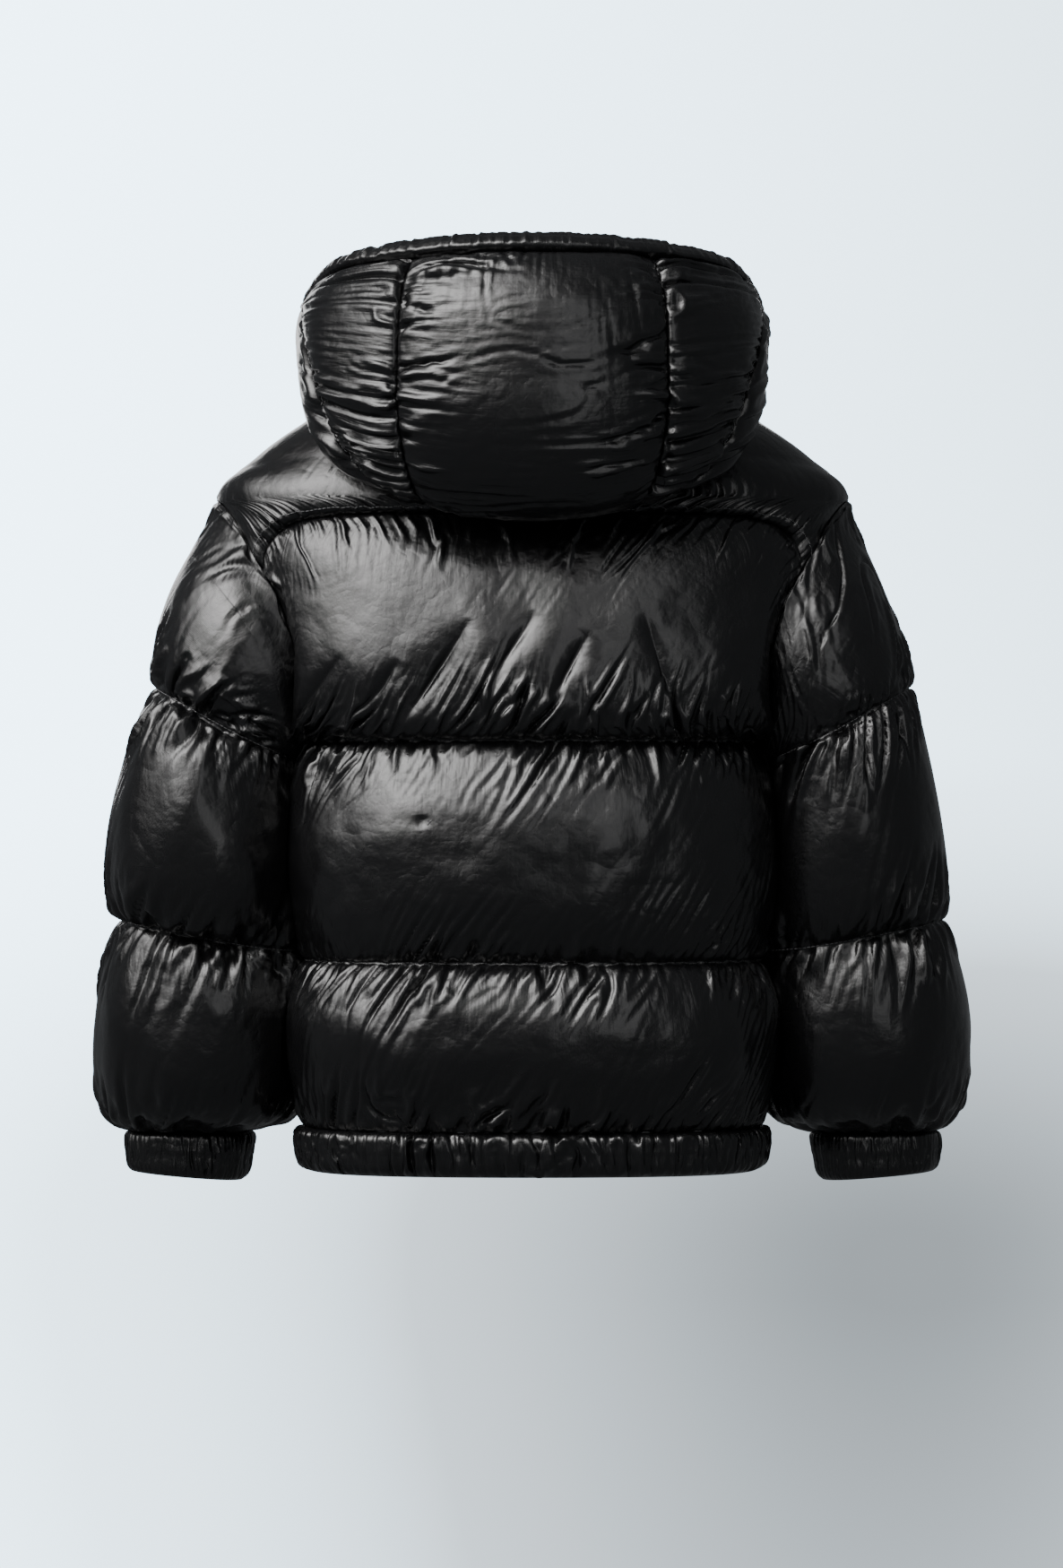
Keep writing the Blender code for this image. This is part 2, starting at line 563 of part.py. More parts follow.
# ---------------------------------------------------------------- sleeves and cuffs
def make_sleeve(side, mirror, material):
    """One padded ring for each quilted channel of a sleeve, from the armhole down to the cuff."""
    columns, steps = 30, 7
    angles = np.arange(columns) * 2 * np.pi / columns
    inner_angles = np.arange(20) * 2 * np.pi / 20
    seam_rows = sleeve_surface(*np.meshgrid(np.arange(4.0), angles, indexing="ij"))
    channel_length = np.linalg.norm(np.diff(seam_rows, axis=0), axis=-1)
    from_body = armhole_out(angles)[1][None]
    cuff_out = unit(normals(sleeve_surface, np.full_like(angles, 2.998), angles) * np.array([1, 1, 0]))
    for k, (name, inner_steps) in enumerate((("upper", 3), ("middle", 2), ("lower", 2))):
        heights = np.repeat(np.linspace(0, 1, steps + 1)[:, None], columns, 1)
        parted = SEAM_GAP / 2 / channel_length[k] * np.array([k > 0, k < 2])[:, None]
        along_grid = k + parted[0] + heights * (1 - parted[0] - parted[1])
        angle_grid = np.repeat(angles[None], steps + 1, 0)
        inside = sleeve_surface(along_grid, angle_grid)
        out = normals(sleeve_surface, np.clip(along_grid, 0.002, 2.998), angle_grid)
        out = lean(out, from_body, np.linalg.norm(inside - seam_rows[:1], axis=-1))
        out = lean(out, cuff_out, np.linalg.norm(inside - seam_rows[3:], axis=-1))
        room = np.clip(channel_length[k] / 0.10, 0, 1)
        facing_body = ((1 - np.cos(angle_grid)) / 2) ** 2
        proud = SLEEVE_CROWN * (1 - (1 - SLEEVE_INNER_SHARE) * facing_body) * room
        if k == 2:
            proud, droop = proud * 1.2, LOW_DROOP
        else:
            droop = DROOP
        raised = SEAM_WALL + proud * channel(1 - heights, droop)
        shares, inner_grid = np.meshgrid(np.linspace(0, 1, inner_steps + 1), inner_angles, indexing="ij")
        parted = np.stack([np.interp(inner_angles, angles, p, period=2 * np.pi) for p in parted])
        inner = sleeve_surface(k + parted[0] + shares * (1 - parted[0] - parted[1]), inner_grid)
        outer = inside + out * raised[..., None]
        if mirror:
            outer, inner = mirrored(outer), mirrored(inner)
        wall(f"sleeve_{side}_{name}", outer, inner, material, around=True)


def make_cuff(name, mirror, material):
    columns = 2 * CUFF_WAVES
    inner_x, inner_z, outer_x, outer_z, mid_y, half_depth = SLEEVE_SECTIONS[-1][1:]
    top = (inner_x, inner_z - SEAM_GAP, outer_x, outer_z - SEAM_GAP, mid_y, half_depth)
    bottom = CUFF_BOTTOM + (mid_y, half_depth)
    shares = np.array([0.0, 0.3, 0.75, 1.0])

    def surface(share, angle):
        share, angle = np.broadcast_arrays(share, angle)
        first = oval_section(*top, angle)
        last = oval_section(*bottom, angle)
        return first + (last - first) * share[..., None]

    angles = np.arange(columns) * 2 * np.pi / columns
    share_grid, angle_grid = np.meshgrid(shares, angles, indexing="ij")
    inside = surface(share_grid, angle_grid)
    out = unit(normals(surface, share_grid, angle_grid) * np.array([1, 1, 0]))
    crown = np.array([0.0, 0.35, 0.3, 0.0])[:, None] * BAND_CROWN
    tied = np.array([0.35, 1.0, 1.0, 0.8])[:, None]
    raised = SEAM_WALL + crown + tied * 0.75 * GATHER_DEPTH * gathers(columns)
    inner_angles = np.arange(18) * 2 * np.pi / 18
    inner = surface(*np.meshgrid(shares[[0, -1]], inner_angles, indexing="ij"))
    outer = inside + out * raised[..., None]
    if mirror:
        outer, inner = mirrored(outer), mirrored(inner)
    wall(name, outer, inner, material, around=True)


# ---------------------------------------------------------------- hood
def hood_edge(station):
    """Angle of the hood's front edge beside the zip."""
    radius = smooth_curve(HOOD_STATIONS, HOOD_SECTIONS[0][0], station)
    return np.arcsin(ZIP_HALF_WIDTH / radius)


def wing_seam(station):
    return np.radians(smooth_curve(WING_SEAM_STATIONS, WING_SEAM_DEGREES, station))


def centre_seam(station):
    return np.full_like(station, np.radians(HOOD_CENTRE_SEAM))


def hood_panel(name, first_angle, last_angle, columns, inner_columns, material, mirror=False,
               gathered=(0.0, 0.0)):
    """A hood panel between two seams; gathered says how strongly each seam is gathered."""
    stations = np.concatenate([HOOD_LOW_ROWS, np.linspace(0.33, BRIM_SEAM - 0.002,
                                                          HOOD_SEAM_WAVES - 2)])
    rows = len(stations) - 1
    inner_stations = np.concatenate([HOOD_LOW_ROWS, np.linspace(0.36, BRIM_SEAM - 0.002, 7)])

    def grid(levels, across):
        shares = np.linspace(0, 1, across + 1)
        station_grid = np.repeat(levels[:, None], across + 1, 1)
        first, last = first_angle(station_grid), last_angle(station_grid)
        return station_grid, first + (last - first) * shares

    station_grid, angle_grid = grid(stations, columns)
    inside = hood_surface(station_grid, angle_grid)
    out = -normals(hood_surface, np.clip(station_grid, 0.002, 0.998), angle_grid)
    from_first = np.linalg.norm(inside - inside[:, :1], axis=-1)
    from_last = np.linalg.norm(inside - inside[:, -1:], axis=-1)
    reach = np.minimum(EDGE_ROUNDING * 0.8, 0.5 * np.maximum(from_first[:, -1:], 0.01))
    rounding = rise(from_first, reach) * rise(from_last, reach)
    yoke_out = -normals(body_surface, NECK_SEAM * np.ones_like(angle_grid[:1]), angle_grid[:1])
    from_neck = np.linalg.norm(inside - inside[:1], axis=-1)
    out = lean(out, unit(out[:1] + yoke_out), from_neck * 2)
    free = np.clip((station_grid - HOOD_LOW_STATION) / HOOD_FREE_REACH, 0, 1)
    proud = HOOD_CROWN * (HOOD_UNDER_SHARE + (1 - HOOD_UNDER_SHARE) * free * free * (3 - 2 * free))
    ends = rise(station_grid, 0.30) * rise(BRIM_SEAM - station_grid, 0.16)
    near = (gathered[0] * np.exp(-(from_first / HOOD_GATHER_REACH) ** 2)
            + gathered[1] * np.exp(-(from_last / HOOD_GATHER_REACH) ** 2))
    ripple = HOOD_GATHER_DEPTH * gathers(rows + 1)[:, None] * near * rounding * ends
    raised = SEAM_WALL + proud * rounding * ends + ripple
    outer = inside + out * raised[..., None]
    inner = hood_surface(*grid(inner_stations, inner_columns))
    if mirror:
        outer, inner = mirrored(outer), mirrored(inner)
    wall(name, outer, inner, material)


def make_hood(material):
    gap = SEAM_GAP / 0.06 / 2           # half the seam gap as an angle round the neck
    hood_panel("hood_centre", lambda s: centre_seam(s) + gap,
               lambda s: 2 * np.pi - centre_seam(s) - gap, 14, 6, material, gathered=(1, 1))
    for name, mirror in (("left", False), ("right", True)):
        hood_panel("hood_side_" + name, lambda s: wing_seam(s) + gap,
                   lambda s: centre_seam(s) - gap, 10, 4, material, mirror, gathered=(0.5, 1))
        hood_panel("hood_wing_" + name, hood_edge, lambda s: wing_seam(s) - gap,
                   16, 10, material, mirror, gathered=(0, 0.5))
    make_brim(material)


def make_brim(material):
    columns = 72
    start = hood_edge(np.array([BRIM_SEAM]))[0]
    angles = np.linspace(start, 2 * np.pi - start, columns + 1)
    stations = np.array([BRIM_SEAM + 0.002, 0.955, 0.98, 1.0])
    station_grid, angle_grid = np.meshgrid(stations, angles, indexing="ij")
    inside = hood_surface(station_grid, angle_grid)
    out = -normals(hood_surface, np.clip(station_grid, 0.002, 0.998), angle_grid)
    crown = np.array([0.0, 0.6, 0.5, 0.0])[:, None] * BAND_CROWN
    ends = np.clip(np.minimum(np.arange(columns + 1), np.arange(columns + 1)[::-1]) / 3, 0, 1)
    raised = SEAM_WALL + (crown + 0.4 * GATHER_DEPTH * gathers(columns + 1)) * ends
    inner_angles = np.linspace(start, 2 * np.pi - start, 37)
    inner = hood_surface(*np.meshgrid(stations[[0, -1]], inner_angles, indexing="ij"))
    wall("hood_brim", inside + out * raised[..., None], inner, material)


# ---------------------------------------------------------------- zip
def zip_line():
    """The zip's path on the inside of the wall: y and z from the hem up to the brim."""
    levels = np.concatenate([np.linspace(HEM_BOTTOM, LOW_QUILT, 6)[:-1],
                             np.linspace(LOW_QUILT, HIGH_QUILT, 5)[:-1],
                             np.linspace(HIGH_QUILT, NECK_SEAM, 10)])
    body = body_surface(levels, np.zeros_like(levels))
    collar = hood_surface(np.linspace(0.1, 1.0, 8), np.zeros(8))
    return np.concatenate([body, collar])[:, 1:]


def make_tapes(material):
    path = zip_line()
    direction = unit(np.gradient(path, axis=0))
    out = np.stack([-direction[:, 1], direction[:, 0]], 1)
    for name, sign in (("left", 1), ("right", -1)):
        xs = np.array([SLIT_HALF_WIDTH, ZIP_HALF_WIDTH - SEAM_GAP]) * sign
        sides = []
        for lift in (TAPE_LIFT, TAPE_LIFT + TAPE_WALL):
            side = path + out * lift
            sides.append(np.stack([np.stack([np.full(len(path), x), side[:, 0], side[:, 1]], 1)
                                   for x in xs], 1))
        wall("zip_tape_" + name, sides[1], sides[0], material)


def prism(name, outline, length, material):
    """A prism along X, centred on x = 0; the outline is a list of (y, z)."""
    count = len(outline)
    points = [(x, y, z) for x in (-length / 2, length / 2) for y, z in outline]
    faces = [tuple(range(count)), tuple(range(count, 2 * count))]
    faces += [(i, (i + 1) % count, count + (i + 1) % count, count + i) for i in range(count)]
    return solid(name, points, faces, material)


def arc(middle_y, middle_z, radius, first, last, steps):
    """Points (y, z) on an arc; angles in degrees, 0 towards -Y and 90 up."""
    turns = np.radians(np.linspace(first, last, steps + 1))
    return [(middle_y - radius * math.cos(t), middle_z + radius * math.sin(t)) for t in turns]


def join(target, *others):
    """Boolean union of the others into the target; the others are removed."""
    for other in others:
        union = target.modifiers.new("union", "BOOLEAN")
        union.operation = "UNION"
        union.object = other
        bpy.context.view_layer.update()
        shaped = target.evaluated_get(bpy.context.evaluated_depsgraph_get())
        mesh = bpy.data.meshes.new_from_object(shaped)
        target.modifiers.clear()
        target.data = mesh
        bpy.data.objects.remove(other, do_unlink=True)
    return target


def slider_place():
    """Front face of the tapes, and height, at the middle of the slider."""
    middle = hood_surface(np.array([SLIDER_STATION]), np.zeros(1))[0]
    return middle[1] - TAPE_LIFT - TAPE_WALL, middle[2]


def make_slider(metal):
    """The slider grips both tapes: a plate in front, one behind and a post in the slit."""
    front, z = slider_place()
    half = SLIDER_HEIGHT / 2
    face = front - TEETH_STAND - SLIDER_PLATE
    back = front + TAPE_WALL + 2 * SEAM_GAP

    def plate(name, y_front, y_back, width):
        outline = [(y_front, z - half + 0.0008), (y_front, z + half - 0.0008),
                   (y_back, z + half), (y_back, z - half)]
        return prism(name, outline, width, metal)

    slider = plate("zip_slider", face, face + SLIDER_PLATE, SLIDER_WIDTH)
    behind = plate("plate_behind", back + SLIDER_PLATE * 0.7, back, SLIDER_WIDTH)
    post = prism("post", [(face + 0.0004, z - 0.002), (face + 0.0004, z + 0.002),
                          (back + 0.0004, z + 0.002), (back + 0.0004, z - 0.002)],
                 2 * (SLIT_HALF_WIDTH - 0.0003), metal)
    axis = (face - PIN_LIFT, z)
    lugs = []
    for sign in (-1, 1):
        outline = arc(*axis, LUG_RADIUS, 90, -90, 8) + [(face + 0.0004, axis[1] - LUG_RADIUS),
                                                       (face + 0.0004, axis[1] + LUG_RADIUS)]
        lug = prism("lug", outline, LUG_WIDTH, metal)
        beside_eye = sign * (EYE_WIDTH / 2 + 0.0003 + LUG_WIDTH / 2)
        lug.data.transform(Matrix.Translation((beside_eye, 0, 0)))
        lugs.append(lug)
    pin = prism("pin", arc(*axis, PIN_RADIUS, 0, 330, 11), EYE_WIDTH + LUG_WIDTH, metal)
    join(slider, behind, post, *lugs, pin)
    return axis


def make_pull(axis, metal):
    """The pull tab: an eye round the slider's pin and a tapering plate hanging from it."""
    y, z = axis
    eye = prism("zip_pull", arc(y, z, EYE_RADIUS, 0, 345, 23), EYE_WIDTH, metal)
    half, under_eye, in_tab = PULL_WALL / 2, z - EYE_RADIUS * 0.8, z - 0.0045
    neck = prism("neck", [(y - half, under_eye), (y + half, under_eye), (y + half, in_tab),
                          (y - half, in_tab)], EYE_WIDTH * 0.96, metal)
    outline = [(-0.0026, -0.0034), (0.0026, -0.0034), (0.0034, -0.0060), (0.0038, -0.0200),
               (0.0026, -0.0226), (-0.0026, -0.0226), (-0.0038, -0.0200), (-0.0034, -0.0060)]
    count = len(outline)
    points = [(x, y + side * half * 1.05, z + dz) for side in (-1, 1) for x, dz in outline]
    faces = [tuple(range(count)), tuple(range(count, 2 * count))]
    faces += [(i, (i + 1) % count, count + (i + 1) % count, count + i) for i in range(count)]
    tab = solid("tab", points, faces, metal)
    join(eye, neck, tab)
    hole = prism("hole", arc(y, z, PIN_RADIUS + 0.0003, 0, 330, 11), EYE_WIDTH * 2, metal)
    cut = eye.modifiers.new("eye", "BOOLEAN")
    cut.operation = "DIFFERENCE"
    cut.object = hole
    bpy.context.view_layer.update()
    mesh = bpy.data.meshes.new_from_object(eye.evaluated_get(bpy.context.evaluated_depsgraph_get()))
    eye.modifiers.clear()
    eye.data = mesh
    bpy.data.objects.remove(hole, do_unlink=True)


def main():
    for old in list(bpy.data.objects):
        bpy.data.objects.remove(old, do_unlink=True)
    nylon = cloth("glossy_black_nylon")
    metal = principled("black_metal", BLACK_METAL, 0.35, 0.9)
    make_body(nylon)
    make_hem_band(nylon)
    for side, mirror in (("left", False), ("right", True)):
        make_sleeve(side, mirror, nylon)
        make_cuff("cuff_" + side, mirror, nylon)
    make_hood(nylon)
    make_tapes(nylon)
    make_pull(make_slider(metal), metal)


main()
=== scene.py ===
"""Dresses the hooded puffer jacket: simulated glossy nylon, sewing, zip teeth and a plain studio.

Every padded piece is a wall on the solids' own inner surface, but for the sleeves, which lean
forward a little less.  Its outer cloth is cut as wide as the crown of its channels and sewn down
along its shorter seams, so it puckers there by itself.
"""

import math

import bmesh
import bpy
import numpy as np
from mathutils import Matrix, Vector


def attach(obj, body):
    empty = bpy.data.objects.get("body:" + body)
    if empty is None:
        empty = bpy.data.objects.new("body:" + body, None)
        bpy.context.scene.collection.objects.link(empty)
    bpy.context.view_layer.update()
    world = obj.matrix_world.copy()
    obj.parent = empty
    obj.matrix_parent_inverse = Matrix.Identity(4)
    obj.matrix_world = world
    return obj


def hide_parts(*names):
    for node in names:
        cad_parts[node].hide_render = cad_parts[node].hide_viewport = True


bl_info = {
    "name": "Hooded puffer jacket",
    "version": (1, 0, 0),
    "blender": (4, 5, 0),
    "location": "View3D > Sidebar > Jacket",
    "description": "Dresses the hooded puffer jacket in simulated glossy nylon",
    "category": "Object",
}

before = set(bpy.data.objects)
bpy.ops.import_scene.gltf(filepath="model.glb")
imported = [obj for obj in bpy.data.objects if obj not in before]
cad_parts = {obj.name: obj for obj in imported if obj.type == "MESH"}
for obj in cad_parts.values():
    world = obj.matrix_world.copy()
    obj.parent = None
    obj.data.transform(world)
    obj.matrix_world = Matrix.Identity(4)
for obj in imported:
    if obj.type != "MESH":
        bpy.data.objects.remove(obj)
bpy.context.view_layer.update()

# ---------------------------------------------------------------- sizes shared with the solids
SEAM_GAP = 0.0004                   # left free between two pieces sewn together
SEAM_WALL = 0.0036                  # thickness of the padded wall right at a seam
SET_BACK = SEAM_GAP / 4             # how far a panel's edge stands back from its seam
HEM_BOTTOM, HEM_SEAM = -0.566, -0.534           # levels of the hem band's two edges
LOW_QUILT, HIGH_QUILT = -0.412, -0.252          # levels of the two quilting seams round the body
YOKE_MIDDLE, YOKE_DROP = -0.090, 0.043          # back yoke seam, and its drop to the armhole
FRONT_YOKE_MIDDLE, FRONT_YOKE_DROP = -0.112, 0.022
SHOULDER_TIP, NECK_SEAM = -0.080, 0.0           # levels of the armhole's top and of the neck
HIGH_CHANNEL_TOP = YOKE_MIDDLE - 0.03           # where the highest channel ends at the sides
ARMHOLE_SPREAD = math.radians(34)   # half the armhole's width, as an angle round the body
ARMHOLE_MIDDLE = (HIGH_QUILT + SHOULDER_TIP) / 2
ARMHOLE_HALF = (SHOULDER_TIP - HIGH_QUILT) / 2
SEAM_LEAN_REACH = 0.018             # how far from a seam a wall still leans with its neighbour
BODY_HALF_WIDTH, HOOD_LEAST_RADIUS = 0.165, 0.06        # for turning gaps into angles
SIDE_GAP = SEAM_GAP / BODY_HALF_WIDTH / 2       # how far a panel's side stands back, as an angle
HOOD_GAP = SEAM_GAP / HOOD_LEAST_RADIUS / 4     # the same for the hood's panels
ZIP_PROBE = 0.12                    # angle beside the zip at which the body's width is read
ZIP_HALF_WIDTH, SLIT_HALF_WIDTH = 0.0130, 0.0006        # from the zip's middle to front and tape
TAPE_WALL = 0.0012
TAPE_LIFT = SEAM_WALL * 0.35        # the tapes lie in the depth of the wall
SLIDER_STATION = 0.82               # place of the closed slider up the collar

# ---------------------------------------------------------------- how the filling stands out
# Distances in metres.  A droop of 1 is a channel with no sag; shares are of a crown.
CHANNEL_ROUNDNESS = 0.72            # 1 is a sine; lower is flatter in its middle
BODY_CROWN, SIDE_CROWN, FRONT_SIDE_CROWN, YOKE_CROWN = 0.024, 0.0155, 0.008, 0.010
SLEEVE_CROWNS = (0.0125, 0.0165, 0.0165 * 1.2)      # from the armhole to the cuff
SLEEVE_INNER_SHARE = 0.75           # left where the sleeve faces the body
SLEEVE_FULLER_BEHIND = {"left": (0.55, 1.30, 0.65), "right": (0.55, 0.55, 0.55)}    # added
SLIMMER_OUTSIDE = 0.50              # taken off the right sleeve's upper two channels
SLEEVE_PRESSED = 0.018              # the sleeve is flattened this much where it lies on the body
HOOD_CROWN = 0.017
HOOD_UNDER_SHARE, HOOD_SEAM_SHARE = 0.20, 0.62      # left over the yoke, and at a seam
HOOD_SIDE_LOSS = 0.35               # taken off at the sides
BAND_CROWN, BAND_TAPER, BAND_EDGE_WALL = 0.0075, 0.35, 0.0006       # taper: lost down the band
CUFF_CROWN, BRIM_CROWN = BAND_CROWN * 0.35, BAND_CROWN * 1.25
HIGH_DROOP, DROOP, LOW_DROOP = 0.52, 0.92, 1.20     # of the body's channels
SLEEVE_DROOPS = (0.84, 0.72, 0.74)                  # from the armhole to the cuff
ARMHOLE_RAISE, ARMHOLE_RAISE_REACH = 0.0055, 0.022  # the armhole's seam stands proud of others
TOUCH_GAP = 0.0010                  # between the padded sleeve and the padded body
EDGE_ROUNDING, HOOD_EDGE_ROUNDING = 0.045, 0.030    # the crown rises within this much of a side
YOKE_SHOULDER = 0.8                 # how much prouder a yoke is over the shoulder
SHOULDER_LOW, SHOULDER_RISE = 0.45, 0.3         # share up the yoke where that starts, and its rise
DENT_GRID, SLEEVE_DENT_GRID = (0.0016, 0.0016), (0.0016, 0.0030)    # about the point spacing
BROAD_DENT, SMALL_DENT, HIGH_SMALL_DENT, DENT_LIMIT = 0.035, 0.010, 0.004, 0.08     # shares
SLEEVE_DENT, SLEEVE_DENT_LIMITS = 0.035, (-1.5, 2.0)

# ---------------------------------------------------------------- how the cloth gathers and folds
LEAST_WALL = 0.0014                 # no cloth is pressed thinner than this
SLACK = 0.012                       # how much longer the cloth is cut everywhere, as a share
GATHER_REACHES = (0.012, 0.042)     # how far from a gathered seam it is cut longer still
# By what share it is longer there.
BODY_GATHER, YOKE_GATHER, SIDE_GATHER, SLEEVE_GATHER, HOOD_GATHER = 0.14, 0.10, 0.06, 0.15, 0.16
PUCKER_REACH, SIDE_PUCKER_REACH = 0.045, 0.016      # how far from a seam it puckers
HOOD_LENGTH = 0.22                  # of the cloth, from the neck seam to the brim
UNEVEN, UNEVEN_LENGTHS = 0.35, (0.30, 0.06)     # how the gathers vary: share, up and across
HOOD_UNEVEN, HOOD_UNEVEN_LENGTHS = 0.3, (0.05, 0.30)
# How deep the creases below are there, as a share; and how far they lean, in metres to a metre up.
SIDE_FOLDED, SLEEVE_FOLDED, TO_BRIM_FOLDED = 0.3, 1.3, 0.35
YOKE_FOLDED, YOKE_SIDE_FOLDED = 0.8, 0.1
BACK_SLANT, FRONT_SLANT, SLEEVE_SLANT, BRIM_SLANT, BAND_SLANT = 0.45, 0.2, 0.3, 0.3, 0.15
CREASES = (
    # pitch, length, depth, reach from the seam, share of the depth kept far from it
    (0.034, 0.120, 0.0070, 0.056, 0.07),
    (0.017, 0.090, 0.0054, 0.044, 0.03),
    (0.0095, 0.055, 0.0028, 0.028, 0.01),
)
HOOD_CREASES = (
    (0.034, 0.120, 0.0070, 0.080, 0.36),
    (0.017, 0.080, 0.0068, 0.050, 0.22),
    (0.0095, 0.050, 0.0040, 0.034, 0.08),
)
# For each band: its ribs, as above; then the height of the first bumps, the solver's steps, and the
# bumps' lengths, on ever finer grids.
HEM_RIBS = ((0.026, 0.16, 0.0036, 1, 1), (0.012, 0.10, 0.0042, 1, 1), (0.007, 0.05, 0.0018, 1, 1))
BRIM_RIBS = ((0.030, 0.20, 0.0014, 1, 1), (0.013, 0.10, 0.0014, 1, 1), (0.007, 0.05, 0.0007, 1, 1))
CUFF_RIBS = ((0.009, 0.30, 0.0010, 1, 1), (0.0050, 0.20, 0.0016, 1, 1))
HEM_PUFF = ((0.0006, 0.0010, 0.0009), (20, 60, 90), ((0.08, 0.03), (0.06, 0.014), (0.05, 0.008)))
CUFF_PUFF = ((0.0003, 0.0006, 0.0007), (10, 40, 90), ((0.08, 0.02), (0.06, 0.009), (0.06, 0.0055)))
BRIM_PUFF = ((0.0003, 0.0006, 0.0006), (20, 50, 80), ((0.08, 0.05), (0.06, 0.020), (0.05, 0.010)))
HEM_FULL, CUFF_FULL, BRIM_FULL = 0.22, 0.20, 0.10   # how much longer each band's cloth is cut
SAG_DEPTH, SAG_LENGTHS, SEAM_RADIUS = 0.0008, (0.0237, 0.0139), 0.17    # of a seam's wander
TUFT_X, TUFT_Z = 0.0730, -0.3110    # the back's one crossed stitch, in a dimple of its own
HOOD_FOLD_STATION, HOOD_FOLD_DEPTH = 0.735, 0.0035  # one long fold across the hood's middle
# The largest folds of the body: x and z place the middle of one as seen from its side, lean is its
# angle from level in degrees, depth is how far it sinks.
BODY_FOLDS = (
    # side, x, z, lean, length, width, depth
    ("back", 0.065, -0.2030, 122, 0.084, 0.012, 0.0060),
    ("back", 0.014, -0.1890, 121, 0.064, 0.010, 0.0045),
    ("back", -0.0254, -0.2020, 118, 0.056, 0.012, 0.0058),
    ("back", 0.104, -0.2160, 122, 0.050, 0.010, 0.0045),
    ("back", 0.146, -0.2160, 125, 0.064, 0.010, 0.0040),
    ("back", -0.088, -0.2000, 74, 0.080, 0.011, 0.0040),
    ("back", TUFT_X, TUFT_Z, 90, 0.010, 0.007, 0.0016),
    ("front", 0.090, -0.2000, 118, 0.090, 0.010, 0.0030),
    ("front", -0.090, -0.2000, 62, 0.090, 0.010, 0.0030),
)

# ---------------------------------------------------------------- grids, seeds and filling
BACK_COLUMNS, FRONT_COLUMNS, YOKE_ROWS = 280, 140, (60,)
BACK_ROWS, FRONT_ROWS = (72, 100, 100), (72, 100, 88)       # for each channel, from the hem up
BODY_SEAM_ROWS = (72, 172)                                  # where both are quilted
SLEEVE_COLUMNS, SLEEVE_ROWS = 208, (96, 80, 72)             # from the armhole down
HEM_COLUMNS, CUFF_COLUMNS, BRIM_COLUMNS = 640, 304, 560
HEM_ROWS, CUFF_ROWS, BRIM_ROWS = 21, 17, 17
HOOD_CENTRE_GRID, HOOD_SIDE_GRID, HOOD_WING_GRID = (112, 200), (64, 200), (144, 140)
# The share of a yoke's rows that lies above the armhole, beside it.
BACK_SHARE_ABOVE_TIP, FRONT_SHARE_ABOVE_TIP = 0.66, 0.62
BACK_SEED, BACK_YOKE_SEED, YOKE_SEED_STEP = 11, 21, 3
FRONT_SEEDS = {"left": 31, "right": 41}
SLEEVE_SEEDS = {"left": 51, "right": 52}
CUFF_SEEDS = {"left": 71, "right": 72}
HEM_SEED, BRIM_SEED, HOOD_CENTRE_SEED, WING_SEED_STEP = 61, 81, 91, 5
HOOD_SIDE_SEEDS = {"left": 93, "right": 95}
BACK_ARMHOLES = ((0, 1, 1), (-1, -1, 1))    # column beside it, side of the body, 1 behind
BODY_FILL, YOKE_FILL, HOOD_FILL, HEM_FILL, EDGE_FILL = 0.8, 0.7, 0.7, 0.5, 0.4  # 1 is full

# ---------------------------------------------------------------- sewing and zip
MIRRORED = np.array([-1.0, 1.0, 1.0])       # turns a left piece into a right one
ACROSS = np.array([1.0, 0.0, 0.0])
STITCH_PITCH, STITCH_LENGTH, STITCH_WIDTH, STITCH_LIFT = 0.0034, 0.0025, 0.00055, 0.3
TUFT_STITCH, TUFT_LIFT = (0.0050, 0.0006, 0.0006), 0.0004
TAPE_EDGE = 0.3 * SLIT_HALF_WIDTH   # the tapes nearly meet, so no light shows between them
TAPE_HIDDEN, TAPE_COLUMNS = 0.0012, 13      # how far a tape runs in under its front
TOOTH_PITCH, TOOTH_REACH, TOOTH_WIDTH, TOOTH_HEIGHT = 0.0028, 0.0032, 0.00118, 0.0011
TOOTH_LIFT, ZIP_BOX_LIFT, ZIP_BOX_RAISE = 0.22, 0.15, 0.55  # shares of their own size
SLIDER_CLEAR = 0.0035               # half the gap that the slider's post leaves in the teeth
ZIP_BOX = (0.0078, 0.0090, 0.0030)  # width, height and depth of the box at the zip's lower end

# ---------------------------------------------------------------- stage
PICTURE_ROWS, NECK_ROW, PIXEL = 1749, 445, 0.00066      # pixels, and metres to one at the jacket
CAMERA_DISTANCE, CAMERA_X = 4.2, 0.0007
VIEW_MIDDLE = -0.283                                    # level at which the surround is centred
SENSOR = 36                                             # height of the camera's sensor, in mm
HALF_VIEW_ACROSS, HALF_VIEW_UP = 0.0931, 0.1374         # of a direction, from middle to edge
STUDIO_STRENGTH, STUDIO_COLUMNS = 7.25, 64
FLOOR, FLOOR_REACH, COVE_RADIUS = -1.05, 5.0, 2.5       # level, then metres from the middle
DOME_START, DOME_HEIGHT = 1.45, 5.0                     # level, then metres above it
ROOM_COLOUR = (0.11, 0.115, 0.12, 1)
SHEET_HALF_SIZE, SHEET_PLACE, SHEET_AIM = (3.6, 2.6), (1.80, 1.70, 1.95), (0, 0, -0.25)
# The place, width and height of each lamp.
LAMPS = {"fill": ((-0.95, 2.9, 0.5), 0.9, 2.8), "front": ((0.45, -3.0, 0.65), 2.2, 1.5)}
LAMP_AIM = (0, 0, -0.3)

